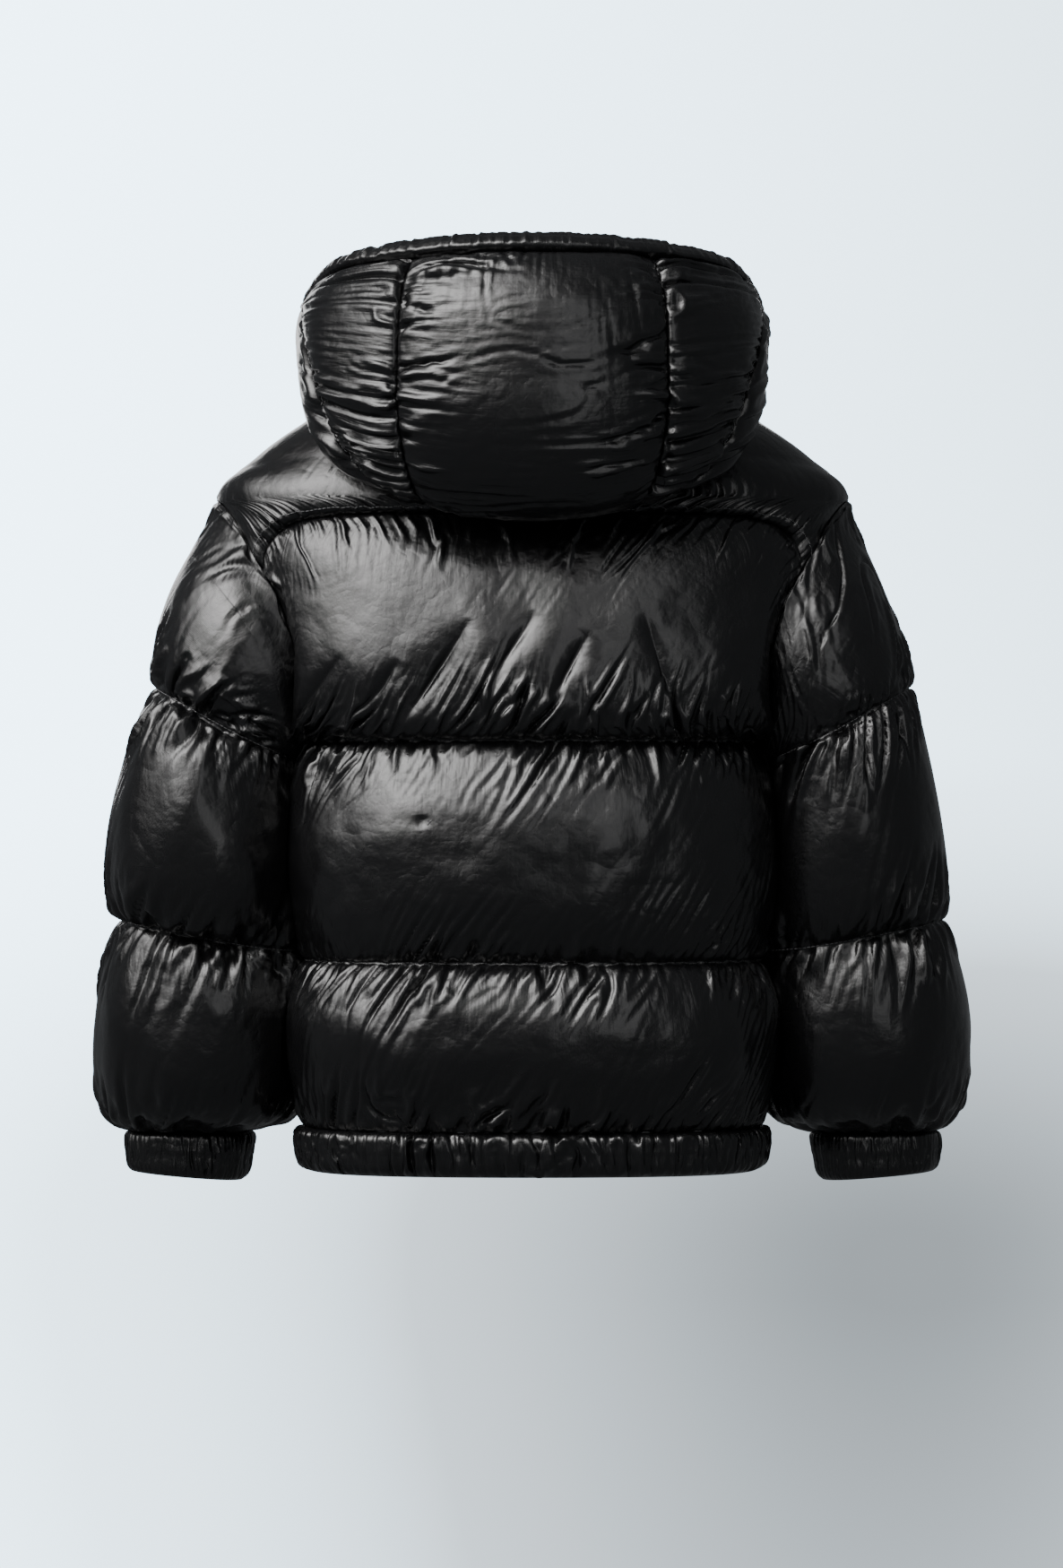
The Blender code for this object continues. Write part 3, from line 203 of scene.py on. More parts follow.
# ---------------------------------------------------------------- sections of the walls' inside
# All as in the solids, but for the sleeves' mid_y and how close they start to the body.
BODY_SECTIONS = (
    # level, side_z, front_z, half_width, back_depth, front_depth, square
    (-0.566, -0.566, -0.566, 0.164, 0.108, 0.103, 0.16),
    (-0.534, -0.534, -0.534, 0.164, 0.108, 0.103, 0.16),
    (-0.412, -0.412, -0.412, 0.165, 0.113, 0.106, 0.14),
    (-0.330, -0.330, -0.330, 0.165, 0.114, 0.106, 0.13),
    (-0.252, -0.252, -0.252, 0.167, 0.113, 0.105, 0.12),
    (-0.200, -0.200, -0.200, 0.188, 0.111, 0.102, 0.12),
    (-0.150, -0.146, -0.150, 0.209, 0.107, 0.098, 0.12),
    (-0.110, -0.102, -0.112, 0.222, 0.102, 0.092, 0.11),
    (-0.080, -0.076, -0.088, 0.222, 0.096, 0.085, 0.10),
    (-0.050, -0.053, -0.067, 0.198, 0.088, 0.078, 0.08),
    (-0.022, -0.018, -0.046, 0.146, 0.078, 0.070, 0.05),
    (0.000, 0.006, -0.028, 0.080, 0.068, 0.062, 0.02),
)
SLEEVE_SECTIONS = (
    # along, inner_x, inner_z, outer_x, outer_z, mid_y, half_depth
    (1.0, 0.1885, -0.262, 0.2730, -0.214, 0.004, 0.060),
    (1.5, 0.1905, -0.334, 0.2880, -0.298, -0.009, 0.063),
    (2.0, 0.1800, -0.405, 0.2995, -0.384, -0.023, 0.062),
    (2.5, 0.1850, -0.475, 0.3025, -0.465, -0.035, 0.058),
    (2.8, 0.1900, -0.513, 0.3015, -0.512, -0.046, 0.053),
    (3.0, 0.2120, -0.5405, 0.2970, -0.5405, -0.046, 0.040),
)
SLEEVE_SQUARE = 0.10
SLEEVE_START = np.array([0.94, 0.0, -0.34])         # which way a sleeve leaves its armhole
ARMHOLE_GAP, ARMPIT_SET_OUT = 0.0006, 0.0058        # how far out it starts: all round, and below
CUFF_BOTTOM = (0.2170, -0.5770, 0.2975, -0.5700)    # inner_x, inner_z, outer_x, outer_z
# The hood runs from the neck seam up a little, back down over the yoke, out, and up to the brim.
HOOD_STATIONS = (0.0, 0.06, 0.14, 0.28, 0.42, 0.55, 0.68, 0.80, 0.93, 1.0)
BRIM_SEAM, NECK_BLEND = 0.93, 0.12      # up to the blend the hood keeps the neck seam's shape
HOOD_SET_BACK = 0.001                   # how far panel and brim stand back from their seam
HOOD_LOW_STATION, HOOD_FREE_REACH = 0.34, 0.16      # below the first it faces the yoke
HOOD_SECTIONS = {
    # degrees round the neck: radii and heights at the stations from the neck seam to the brim
    0: ((0.062, 0.066, 0.071, 0.076, 0.080, 0.083, 0.085, 0.086, 0.085, 0.083),
        (-0.027, -0.020, -0.010, 0.002, 0.014, 0.027, 0.039, 0.050, 0.061, 0.067)),
    45: ((0.072, 0.075, 0.082, 0.092, 0.099, 0.105, 0.109, 0.110, 0.109, 0.107),
         (-0.010, 0.001, 0.008, 0.014, 0.020, 0.028, 0.038, 0.049, 0.061, 0.068)),
    90: ((0.080, 0.084, 0.096, 0.122, 0.143, 0.150, 0.154, 0.156, 0.157, 0.156),
         (0.007, 0.017, 0.024, 0.024, 0.013, 0.016, 0.028, 0.042, 0.057, 0.066)),
    112: ((0.077, 0.081, 0.093, 0.125, 0.152, 0.161, 0.165, 0.165, 0.162, 0.158),
          (0.006, 0.017, 0.026, 0.020, -0.004, 0.004, 0.024, 0.047, 0.071, 0.082)),
    135: ((0.075, 0.079, 0.090, 0.126, 0.166, 0.184, 0.190, 0.187, 0.175, 0.167),
          (0.004, 0.016, 0.023, -0.004, -0.052, -0.034, 0.005, 0.046, 0.082, 0.096)),
    180: ((0.068, 0.072, 0.084, 0.110, 0.142, 0.174, 0.190, 0.188, 0.172, 0.161),
          (0.001, 0.014, 0.020, -0.022, -0.082, -0.060, -0.010, 0.042, 0.089, 0.104)),
}
HOOD_CENTRE_SEAM = 152              # degrees round the neck, all the way up
WING_SEAM_STATIONS = (0.0, 0.40, 0.45, 0.50, 0.57, 0.68, 0.80, 0.93)
WING_SEAM_DEGREES = (145, 146.5, 145, 140, 135, 130, 119, 102)


# ---------------------------------------------------------------- curves and surfaces
def through(stations, values, at):
    """Smooth curve that never overshoots (monotone cubic), read at a place of its own per point.

    values is (stations, points, parts), or (stations, 1, parts) where all points share it.
    """
    stations = np.asarray(stations, float)
    at = np.clip(at, stations[0], stations[-1])
    step = np.diff(stations)[:, None, None]
    secant = np.diff(values, axis=0) / step
    slope = np.zeros_like(values)
    slope[0], slope[-1] = secant[0], secant[-1]
    same_way = secant[:-1] * secant[1:] > 0
    both = np.where(same_way, secant[:-1] + secant[1:], 1.0)
    slope[1:-1] = np.where(same_way, 2 * secant[:-1] * secant[1:] / both, 0.0)
    k = np.clip(np.searchsorted(stations, at, side="right") - 1, 0, len(stations) - 2)
    point = np.arange(len(at)) if values.shape[1] > 1 else np.zeros(len(at), int)
    width = (stations[k + 1] - stations[k])[:, None]
    t = (at - stations[k])[:, None] / width
    return (values[k, point] * (1 + 2 * t) * (1 - t) ** 2
            + slope[k, point] * width * t * (1 - t) ** 2
            + values[k + 1, point] * t * t * (3 - 2 * t)
            + slope[k + 1, point] * width * t * t * (t - 1))


def from_table(stations, rows, at):
    """Reads a table with one row per station; returns an array of shape (parts,) + at.shape."""
    rows = np.asarray(rows, float)
    rows = rows.reshape(len(rows), 1, -1)
    at = np.asarray(at, float)
    return np.moveaxis(through(stations, rows, at.ravel()), -1, 0).reshape((-1,) + at.shape)


def rise(distance, reach):
    """0 at a seam, 1 from `reach` on, round as a pillow's edge."""
    t = np.clip(distance / reach, 0, 1)
    return np.sqrt(1 - (1 - t) ** 2)


def channel(share, droop):
    """The crown of one channel from its lower seam (0) to its upper one (1).

    The filling sags: below 1, droop moves the crown down.
    """
    return np.sin(np.pi * np.clip(share, 0, 1) ** droop) ** CHANNEL_ROUNDNESS


def unit(vectors):
    """The same directions with a length of 1."""
    return vectors / np.maximum(np.linalg.norm(vectors, axis=-1, keepdims=True), 1e-12)


def normals(surface, a, b):
    """Normals of a surface, told from its points a small step away."""
    e = 1e-4
    return unit(np.cross(surface(a + e, b) - surface(a - e, b),
                         surface(a, b + e) - surface(a, b - e)))


def lean(out, shared, distance):
    """Turns the walls' directions towards a shared one near a seam."""
    near = np.exp(-(distance / SEAM_LEAN_REACH) ** 2)[..., None]
    return unit(out * (1 - near) + shared * near)


def rounded_oval(angle, square):
    """A point on an oval of half width and half depth 1; square fills out its corners."""
    s, c = np.sin(angle), np.cos(angle)
    return s * (1 + square * c * c), c * (1 + square * s * s)


def body_surface(level, angle):
    """Inside of the body wall; angle is 0 in front and pi at the back."""
    level, angle = np.broadcast_arrays(level, angle)
    rows = np.array(BODY_SECTIONS)
    side_z, front_z, half_width, back_depth, front_depth, square = from_table(
        rows[:, 0], rows[:, 1:], level)
    across, along = rounded_oval(angle, square)
    behind = np.cos(angle) < 0
    depth = np.where(behind, back_depth, front_depth)
    middle_z = np.where(behind, level, front_z)
    z = side_z + (middle_z - side_z) * np.cos(angle) ** 2
    return np.stack([half_width * across, -depth * along, z], -1)


def armhole_turn(level):
    """Half the armhole's opening at a level, as an angle round the body."""
    share = (level - ARMHOLE_MIDDLE) / ARMHOLE_HALF
    return ARMHOLE_SPREAD * np.sqrt(np.clip(1 - share ** 2, 0, 1))


def armhole_place(angle):
    """Level and body angle of the left armhole; angle 0 at the shoulder tip, pi/2 behind."""
    return (ARMHOLE_MIDDLE + ARMHOLE_HALF * np.cos(angle),
            np.pi / 2 + ARMHOLE_SPREAD * np.sin(angle))


def armpit_share(angle):
    """1 at the armpit, 0 at the shoulder tip."""
    return ((1 - np.cos(angle)) / 2) ** 2


def armhole_out(angle):
    """Which way the walls stand at the left armhole: midway between body and sleeve."""
    body = -normals(body_surface, *armhole_place(angle))
    just_below = np.full_like(angle, 0.004)
    sleeve = normals(sleeve_surface, just_below, angle)
    shared = 1 - armpit_share(angle)
    return unit(body + shared[..., None] * sleeve), unit(sleeve + shared[..., None] * body)


def oval_section(inner_x, inner_z, outer_x, outer_z, mid_y, half_depth, angle):
    """Points of an oval across a sleeve, between its two ends in X and Z."""
    across, along = rounded_oval(angle, SLEEVE_SQUARE)
    reach = (1 + along) / 2
    return np.stack([inner_x + (outer_x - inner_x) * reach, mid_y + half_depth * across,
                     inner_z + (outer_z - inner_z) * reach], -1)


def sleeve_surface(along, angle):
    """Inside of the left sleeve's wall: along counts channels, angle 0 outside, pi/2 behind."""
    along, angle = np.broadcast_arrays(along, angle)
    set_out = ARMHOLE_GAP + ARMPIT_SET_OUT * armpit_share(angle)
    start = body_surface(*armhole_place(angle)) + set_out[..., None] * SLEEVE_START
    rings = [start] + [oval_section(*row[1:], angle) for row in SLEEVE_SECTIONS]
    stations = [0.0] + [row[0] for row in SLEEVE_SECTIONS]
    rings = np.stack(rings, 0).reshape(len(stations), -1, 3)
    return through(stations, rings, along.ravel()).reshape(along.shape + (3,))


def hood_table(which, station, degrees):
    """Radius (0) or height (1) of the hood, smooth both round the neck and up the section."""
    rows = [from_table(HOOD_STATIONS, HOOD_SECTIONS[d][which], station)[0] for d in HOOD_SECTIONS]
    turns = (1 - np.cos(np.radians(np.array(list(HOOD_SECTIONS), float)))) / 2
    turn = (1 - np.cos(np.radians(degrees))) / 2
    flat = np.stack(rows, 0).reshape(len(rows), -1, 1)
    return through(turns, flat, np.ravel(turn))[:, 0].reshape(np.shape(station))


def hood_surface(station, angle):
    """Inside of the hood's wall: station 0 at the neck seam and 1 at the brim's edge."""
    station, angle = np.broadcast_arrays(station, angle)
    folded = np.degrees(np.abs((angle + np.pi) % (2 * np.pi) - np.pi))
    radius = hood_table(0, station, folded)
    height = hood_table(1, station, folded)
    first_radius, first_height = hood_table(0, 0 * station, folded), hood_table(1, 0 * station, folded)
    shape = np.stack([radius * np.sin(angle), -radius * np.cos(angle), height], -1)
    level = np.full_like(angle, NECK_SEAM)
    neck = body_surface(level, angle) - normals(body_surface, level, angle) * (SEAM_WALL + SEAM_GAP)
    start = np.stack([first_radius * np.sin(angle), -first_radius * np.cos(angle), first_height], -1)
    still_neck = np.clip(1 - station / NECK_BLEND, 0, 1)[..., None] ** 2
    return shape + still_neck * (neck - start)


def body_height(level):
    """How far up its quilted channel a level lies, and how far that channel's filling sags."""
    edges = np.array([HEM_BOTTOM, HEM_SEAM, LOW_QUILT, HIGH_QUILT, HIGH_CHANNEL_TOP])
    k = np.clip(np.searchsorted(edges, level, side="right") - 1, 0, 3)
    share = np.clip((level - edges[k]) / (edges[k + 1] - edges[k]), 0, 1)
    return share, droop_at(level)


def droop_at(level):
    """How far the filling sags in the body's channel at a level; 1 is not at all."""
    return np.where(level < LOW_QUILT, LOW_DROOP, np.where(level > HIGH_QUILT, HIGH_DROOP, DROOP))


def side_crown(level, angle, crown):
    """The channels' crown round the body: lower at the sides, where the sleeves press on them."""
    side = np.abs(np.sin(angle)) ** 6
    pressed = np.where(np.cos(angle) < 0, SIDE_CROWN, FRONT_SIDE_CROWN)
    return np.where(level < HIGH_QUILT + 0.001, crown + (pressed - crown) * side, crown)


def body_clearance(points, facing):
    """How far the sleeve may stand off its wall before it meets the padded body beside it."""
    level = np.clip(points[..., 2], HEM_BOTTOM, SHOULDER_TIP)
    rows = np.array(BODY_SECTIONS)
    half_width, back_depth, front_depth, square = from_table(rows[:, 0], rows[:, 3:], level)
    depth = np.where(points[..., 1] > 0, back_depth, front_depth)
    aim = np.arctan2(points[..., 0] / half_width, -points[..., 1] / depth)
    angle = aim
    for _ in range(3):
        angle = angle + aim - np.arctan2(*rounded_oval(angle, square))
    share, droop = body_height(level)
    padded = SEAM_WALL + side_crown(level, angle, BODY_CROWN) * channel(share, droop)
    away = -normals(body_surface, level, angle)
    distance = ((points - body_surface(level, angle)) * away).sum(-1)
    meets = -(facing * away).sum(-1)
    least = 0.25    # a wall that faces the body less than this doesn't meet it
    return np.where(meets > least, (distance - padded - TOUCH_GAP) / np.maximum(meets, least), 1.0)


def armhole_raise(share, distance):
    """Height of the armhole's seam above the other seams; it falls off away from the seam."""
    return ARMHOLE_RAISE * share * np.exp(-(distance / ARMHOLE_RAISE_REACH) ** 2)


def fold_depth(points, folds):
    """How far the folds sink each point, told from where it lies seen from behind or in front."""
    sunk = np.zeros(points.shape[:-1])
    for side, x, z, turned, length, width, depth in folds:
        there = points[..., 1] > 0 if side == "back" else points[..., 1] < 0
        dx, dz = points[..., 0] - x, points[..., 2] - z
        c, s = math.cos(math.radians(turned)), math.sin(math.radians(turned))
        lengthways, crossways = (dx * c + dz * s) / (length / 2), (dz * c - dx * s) / width
        shape = np.exp(-np.abs(2 * crossways) ** 1.1) * np.clip(1 - lengthways ** 2, 0, 1)
        sunk += np.where(there, depth * shape, 0.0)
    return sunk


# ---------------------------------------------------------------- cloth simulation
def wavy(shape, cell, length_up, length_across, seed, slant=0.0):
    """Smooth noise of unit strength on a grid, with the given wave lengths in metres.

    slant shifts it sideways by that many metres for each metre upwards, so its waves lie askew.
    """
    rows, columns = shape
    white = np.random.default_rng(seed).standard_normal(shape)
    up = np.fft.fftfreq(rows)[:, None] * length_up / cell[0]
    across = np.fft.fftfreq(columns)[None] * length_across / cell[1]
    if slant:
        up = up + np.fft.fftfreq(columns)[None] * slant * cell[0] / cell[1] * length_up / cell[0]
    distance = up ** 2 + across ** 2
    band = distance * np.exp(-distance * 2.2)
    noise = np.real(np.fft.ifft2(np.fft.fft2(white) * band))
    return noise / max(noise.std(), 1e-12)


def neighbour_pairs(rows, columns, around):
    """Groups of neighbouring points in which no point comes twice: (kind, first, second)."""
    def halves(count, first):
        n = (count - first) // 2
        return slice(first, first + 2 * n, 2), slice(first + 1, first + 2 * n, 2)

    everything = slice(None)
    last, start = slice(columns - 1, columns), slice(0, 1)
    groups = []
    for first in (0, 1):
        a, b = halves(columns, first)
        groups.append(("across", (everything, a), (everything, b)))
    if around:
        groups.append(("across", (everything, last), (everything, start)))
    for first in (0, 1):
        a, b = halves(rows, first)
        groups.append(("up", (a, everything), (b, everything)))
    for first in (0, 1):
        a, b = halves(rows, first)
        left, right = slice(0, columns - 1), slice(1, columns)
        groups.append(("slanted", (a, left), (b, right)))
        groups.append(("slanted", (a, right), (b, left)))
        if around:
            groups.append(("slanted", (a, last), (b, start)))
            groups.append(("slanted", (a, start), (b, last)))
    return groups


def spread(values, around):
    """Mean of each point's four neighbours; values is (parts, rows, columns)."""
    padded = np.pad(values, ((0, 0), (1, 1), (0, 0)), mode="edge")
    padded = np.pad(padded, ((0, 0), (0, 0), (1, 1)), mode="wrap" if around else "edge")
    return (padded[:, :-2, 1:-1] + padded[:, 2:, 1:-1]
            + padded[:, 1:-1, :-2] + padded[:, 1:-1, 2:]) * np.float32(0.25)


def finer(values, around):
    """The same field on a grid of half the spacing (four-point interpolation)."""
    def midpoints(v, wrap):
        before = np.concatenate([v[-1:] if wrap else v[:1], v[:-1]])
        after = np.concatenate([v[1:], v[:1] if wrap else v[-1:]])
        later = np.concatenate([v[2:], v[:2] if wrap else np.repeat(v[-1:], 2, 0)])
        return (9 * (v + after) - before - later) / 16

    v = np.moveaxis(values, 1, 0)
    out = np.empty((2 * v.shape[0] - 1,) + v.shape[1:], v.dtype)
    out[::2], out[1::2] = v, midpoints(v, False)[:-1]
    v = np.moveaxis(out, 2, 0)
    mids = midpoints(v, around)
    count = 2 * v.shape[0] - (0 if around else 1)
    wide = np.empty((count,) + v.shape[1:], v.dtype)
    wide[::2], wide[1::2] = v, mids if around else mids[:-1]
    return np.moveaxis(wide, (0, 1, 2), (2, 1, 0))


def apart(points, first, second):
    """Distances between two groups of points."""
    d = points[(slice(None),) + second] - points[(slice(None),) + first]
    return np.sqrt((d * d).sum(0))


def gathering(distance, strength, slack=0.0):
    """How much fuller the cloth is cut than its place at a distance from a gathered seam."""
    near, far = (np.exp(-(distance / reach) ** 2) for reach in GATHER_REACHES)
    return slack + strength * (0.5 * near + 0.5 * far)


def creases(shape, cell, distance, seed, slant=0.0, sideways=False, strength=1.0, sizes=CREASES,
            patchy=0.95):
    """Depth of the sharp folds that run away from a gathered seam and thin out with distance.

    Each size of fold is a sharp trough along the zero lines of a smooth noise stretched away from
    the seam, and the cloth between two troughs is round.
    """
    depth = np.zeros(shape)
    for k, (pitch, length, deep, reach, always) in enumerate(sizes):
        waves = (pitch, length) if sideways else (length, pitch)
        noise = wavy(shape, cell, waves[0], waves[1], seed + 10 * k, slant)
        patches = wavy(shape, cell, length, length, seed + 10 * k + 3)
        near = always + (1 - always) * np.exp(-(distance / reach) ** 2)
        fold = np.clip(1 - np.abs(noise) / 1.1, 0, 1) ** 1.3 - 0.25
        depth += deep * near * np.clip(1.2 - patchy + patchy * patches, 0, 1.8) * fold
    return depth * strength * np.clip(distance / 0.004, 0.2, 1)


def pucker(distance):
    """1 at a seam, falling to the little pucker that the cloth has everywhere."""
    return 0.10 + 0.90 * np.exp(-(distance / PUCKER_REACH) ** 2)


class Panel:
    """A padded panel on a grid of rows (upwards) and columns (round), before and after it puffs up.

    inside, out: the wall's inner surface and its outward directions.  raised: how far the filled
    cloth stands off it.  sewn: the points held down.  full_across and full_up: how much longer the
    cloth is cut than its place, as a share.  level_seam and side_seam: 1 beside a seam of that
    kind, falling to 0 away from it; there the cloth starts to pucker.  creased: depth of its folds.
    sag: how a sewn line wanders from its place.
    """

    FIRST_BUMPS, STEPS = (0.0018, 0.0011, 0.0006), (110, 110, 90)       # on ever finer grids
    WAVES = ((0.100, 0.034), (0.050, 0.017), (0.024, 0.0095))
    SINK, SWELL, PRESSURE = 0.0006, 0.0012, 0.05
    EARLY_BEND, LATE_BEND, LAST_SMOOTHING = 0.24, 0.16, 0.25
    STIFFNESS, SLANTED_STIFFNESS = 0.9, 0.3
    CREASE_ROOM = 0.8               # share of the filling that a fold may press away

    def __init__(self, inside, out, raised, sewn, around=False):
        self.inside, self.out, self.raised, self.sewn, self.around = inside, out, raised, sewn, around
        self.cell = (np.linalg.norm(np.diff(inside, axis=0), axis=-1).mean(),
                     np.linalg.norm(np.diff(inside, axis=1), axis=-1).mean())
        self.full_across = self.full_up = np.zeros(raised.shape)
        self.level_seam = self.side_seam = self.creased = np.zeros(raised.shape)
        self.sag = 0.0

    def goal(self):
        """Where the cloth would stand if it neither gathered nor creased."""
        return self.inside + self.out * self.raised[..., None] + self.sag

    def links(self, points, grid, free):
        """Pairs of neighbours with the length of cloth between them and each one's share to move."""
        across, up = self.full_across[grid], self.full_up[grid]
        for kind, first, second in neighbour_pairs(*points.shape[1:], self.around):
            now = apart(points, first, second)
            if kind == "across":
                rest, stiff = now * (1 + across[first]), self.STIFFNESS
            elif kind == "up":
                rest, stiff = now * (1 + up[first]), self.STIFFNESS
            else:
                rest, stiff = now * (1 + (across[first] + up[first]) / 2), self.SLANTED_STIFFNESS
            a, b = free[first], free[second]
            whole = np.maximum(a + b, 1) / stiff
            yield ((slice(None),) + first, (slice(None),) + second, rest.astype(np.float32),
                   (a / whole).astype(np.float32), (b / whole).astype(np.float32))

    def puff(self, seed, slant=0.0, bumps=FIRST_BUMPS, steps=STEPS, waves=WAVES):
        """Cuts the cloth, sews it down and lets it swell; returns its points (rows, columns, 3)."""
        goal, inside, out = (np.moveaxis(v, -1, 0).astype(np.float32)
                             for v in (self.goal(), self.inside, self.out))
        creased = np.where(self.sewn, 0, self.creased)
        room = self.CREASE_ROOM * (self.raised - LEAST_WALL)
        creased = np.clip(creased, -0.5 * room, room).astype(np.float32)
        moved = None
        plan = list(zip((4, 2, 1), steps, bumps, waves))[:3]
        for level, (skip, count, bump, (long_wave, short_wave)) in enumerate(plan):
            thin = (slice(None), slice(None, None, skip), slice(None, None, skip))
            grid = thin[1:]
            here, outward, base = goal[thin], out[thin], inside[thin]
            if skip == 1:
                here = here - outward * creased
            shape, cell = here.shape[1:], (self.cell[0] * skip, self.cell[1] * skip)
            moved = np.zeros_like(here) if moved is None else finer(moved, self.around)
            start = (wavy(shape, cell, long_wave, short_wave, seed + level, slant)
                     * self.level_seam[grid]
                     + wavy(shape, cell, short_wave, long_wave, seed + 50 + level)
                     * self.side_seam[grid])
            points = here + moved + outward * (bump * start).astype(np.float32)
            free = (~self.sewn[grid]).astype(np.float32)
            points = np.where(free > 0, points, here)
            links = list(self.links(here, grid, free))
            stand = self.raised[grid].astype(np.float32)
            lowest = np.minimum(stand, LEAST_WALL)
            for step in range(count):
                drift = points - here
                bend = spread(drift, self.around) - drift
                bend = spread(bend, self.around) - bend
                strength = self.EARLY_BEND if step < count // 2 else self.LATE_BEND
                points = points - bend * np.float32(strength)
                height = ((points - base) * outward).sum(0)
                push = np.clip(stand - height, -self.SINK, self.SWELL) * np.float32(self.PRESSURE)
                points += outward * (push + np.maximum(lowest - height - push, 0))
                points = np.where(free > 0, points, here)
                for first, second, rest, share_a, share_b in links:
                    a, b = points[first], points[second]
                    d = b - a
                    length = np.sqrt((d * d).sum(0)) + np.float32(1e-9)
                    d *= (length - rest) / length
                    a += d * share_a
                    b -= d * share_b
            moved = points - here
        points = goal - out * creased + moved
        smooth = spread(points, self.around)
        eased = points + (smooth - points) * np.float32(self.LAST_SMOOTHING)
        points = np.where(self.sewn, points, eased)
        return np.moveaxis(points, 0, -1).astype(float)


def seam_sag(points):
    """A sewn line's small wander up and down, the same for both pieces that meet at it."""
    along = np.arctan2(points[..., 0], -points[..., 1]) * SEAM_RADIUS
    long, short = SAG_LENGTHS
    drop = np.sin(along * 2 * np.pi / long) + 0.7 * np.sin(along * 2 * np.pi / short + 2)
    return np.stack([0 * along, 0 * along, drop * SAG_DEPTH / 1.5], -1)


# ---------------------------------------------------------------- meshes
def grid_quads(first, rows, columns, around):
    """Four-cornered faces of a grid whose points are numbered from `first` on, row by row."""
    index = first + np.arange(rows * columns).reshape(rows, columns)
    right = np.roll(index, -1, 1) if around else index[:, 1:]
    left = index if around else index[:, :-1]
    return np.stack([left[:-1], right[:-1], right[1:], left[1:]], -1).reshape(-1, 4)


def join_lines(a, b, points):
    """Triangles between two lines of points of different counts, by the shorter diagonal."""
    faces, i, j = [], 0, 0
    while i < len(a) - 1 or j < len(b) - 1:
        far = 1e9
        step_a = np.linalg.norm(points[a[i + 1]] - points[b[j]]) if i < len(a) - 1 else far
        step_b = np.linalg.norm(points[b[j + 1]] - points[a[i]]) if j < len(b) - 1 else far
        if step_a <= step_b:
            faces.append((a[i], a[i + 1], b[j]))
            i += 1
        else:
            faces.append((a[i], b[j + 1], b[j]))
            j += 1
    return faces


def cut_lengths(panel):
    """Distances across and up the cut cloth, in metres, for the weave to follow."""
    goal = panel.goal()
    across = np.linalg.norm(np.diff(goal, axis=1), axis=-1)
    across = across * (1 + panel.full_across[:, 1:])
    across = np.concatenate([np.zeros((len(across), 1)), np.cumsum(across, 1)], 1)
    across -= across[:, across.shape[1] // 2][:, None]
    up = (np.linalg.norm(np.diff(goal, axis=0), axis=-1) * (1 + panel.full_up[1:])).mean(1)
    up = np.concatenate([[0.0], np.cumsum(up)])
    return across, np.repeat(up[:, None], across.shape[1], 1)


def wall_rim(around, outer_shape, inner_shape, points):
    """Triangles that close a wall round its edges, between its outer and its inner grid."""
    sides = ((0, outer_shape), (outer_shape[0] * outer_shape[1], inner_shape))

    def row(first, shape, r):
        line = [first + (r % shape[0]) * shape[1] + c for c in range(shape[1])]
        return line + line[:1] if around else line

    def column(first, shape, c):
        return [first + r * shape[1] + (c % shape[1]) for r in range(shape[0])]

    rim = []
    for line in (row,) if around else (row, column):
        for end in (0, -1):
            outer, inner = (line(first, shape, end) for first, shape in sides)
            rim += join_lines(outer, inner, points)
    return np.array(rim)


def weave_map(panel, inner_shape, corners, quad_count):
    """Metres across and up the cut cloth at each corner of each face."""
    rows, columns = inner_shape
    across, up = cut_lengths(panel)
    inner_across = np.linspace(across[0, 0], across[0, -1], columns)
    inner_up = np.linspace(0, up[-1, 0], rows)
    u = np.concatenate([across.ravel(), np.tile(inner_across, rows)])
    v = np.concatenate([up.ravel(), np.repeat(inner_up, columns)])
    pairs = np.stack([u[corners], v[corners]], -1)
    if panel.around:
        whole, count = (across[:, -1] - across[:, 0]).mean(), across.shape[1]
        faces = pairs[:quad_count * 4].reshape(-1, 4, 2)
        wraps = (faces[..., 0].max(1) - faces[..., 0].min(1)) > whole / 2
        low = faces[wraps, :, 0]
        faces[wraps, :, 0] = np.where(low < 0, low + whole * count / (count - 1), low)
        pairs[:quad_count * 4] = faces.reshape(-1, 2)
    return pairs


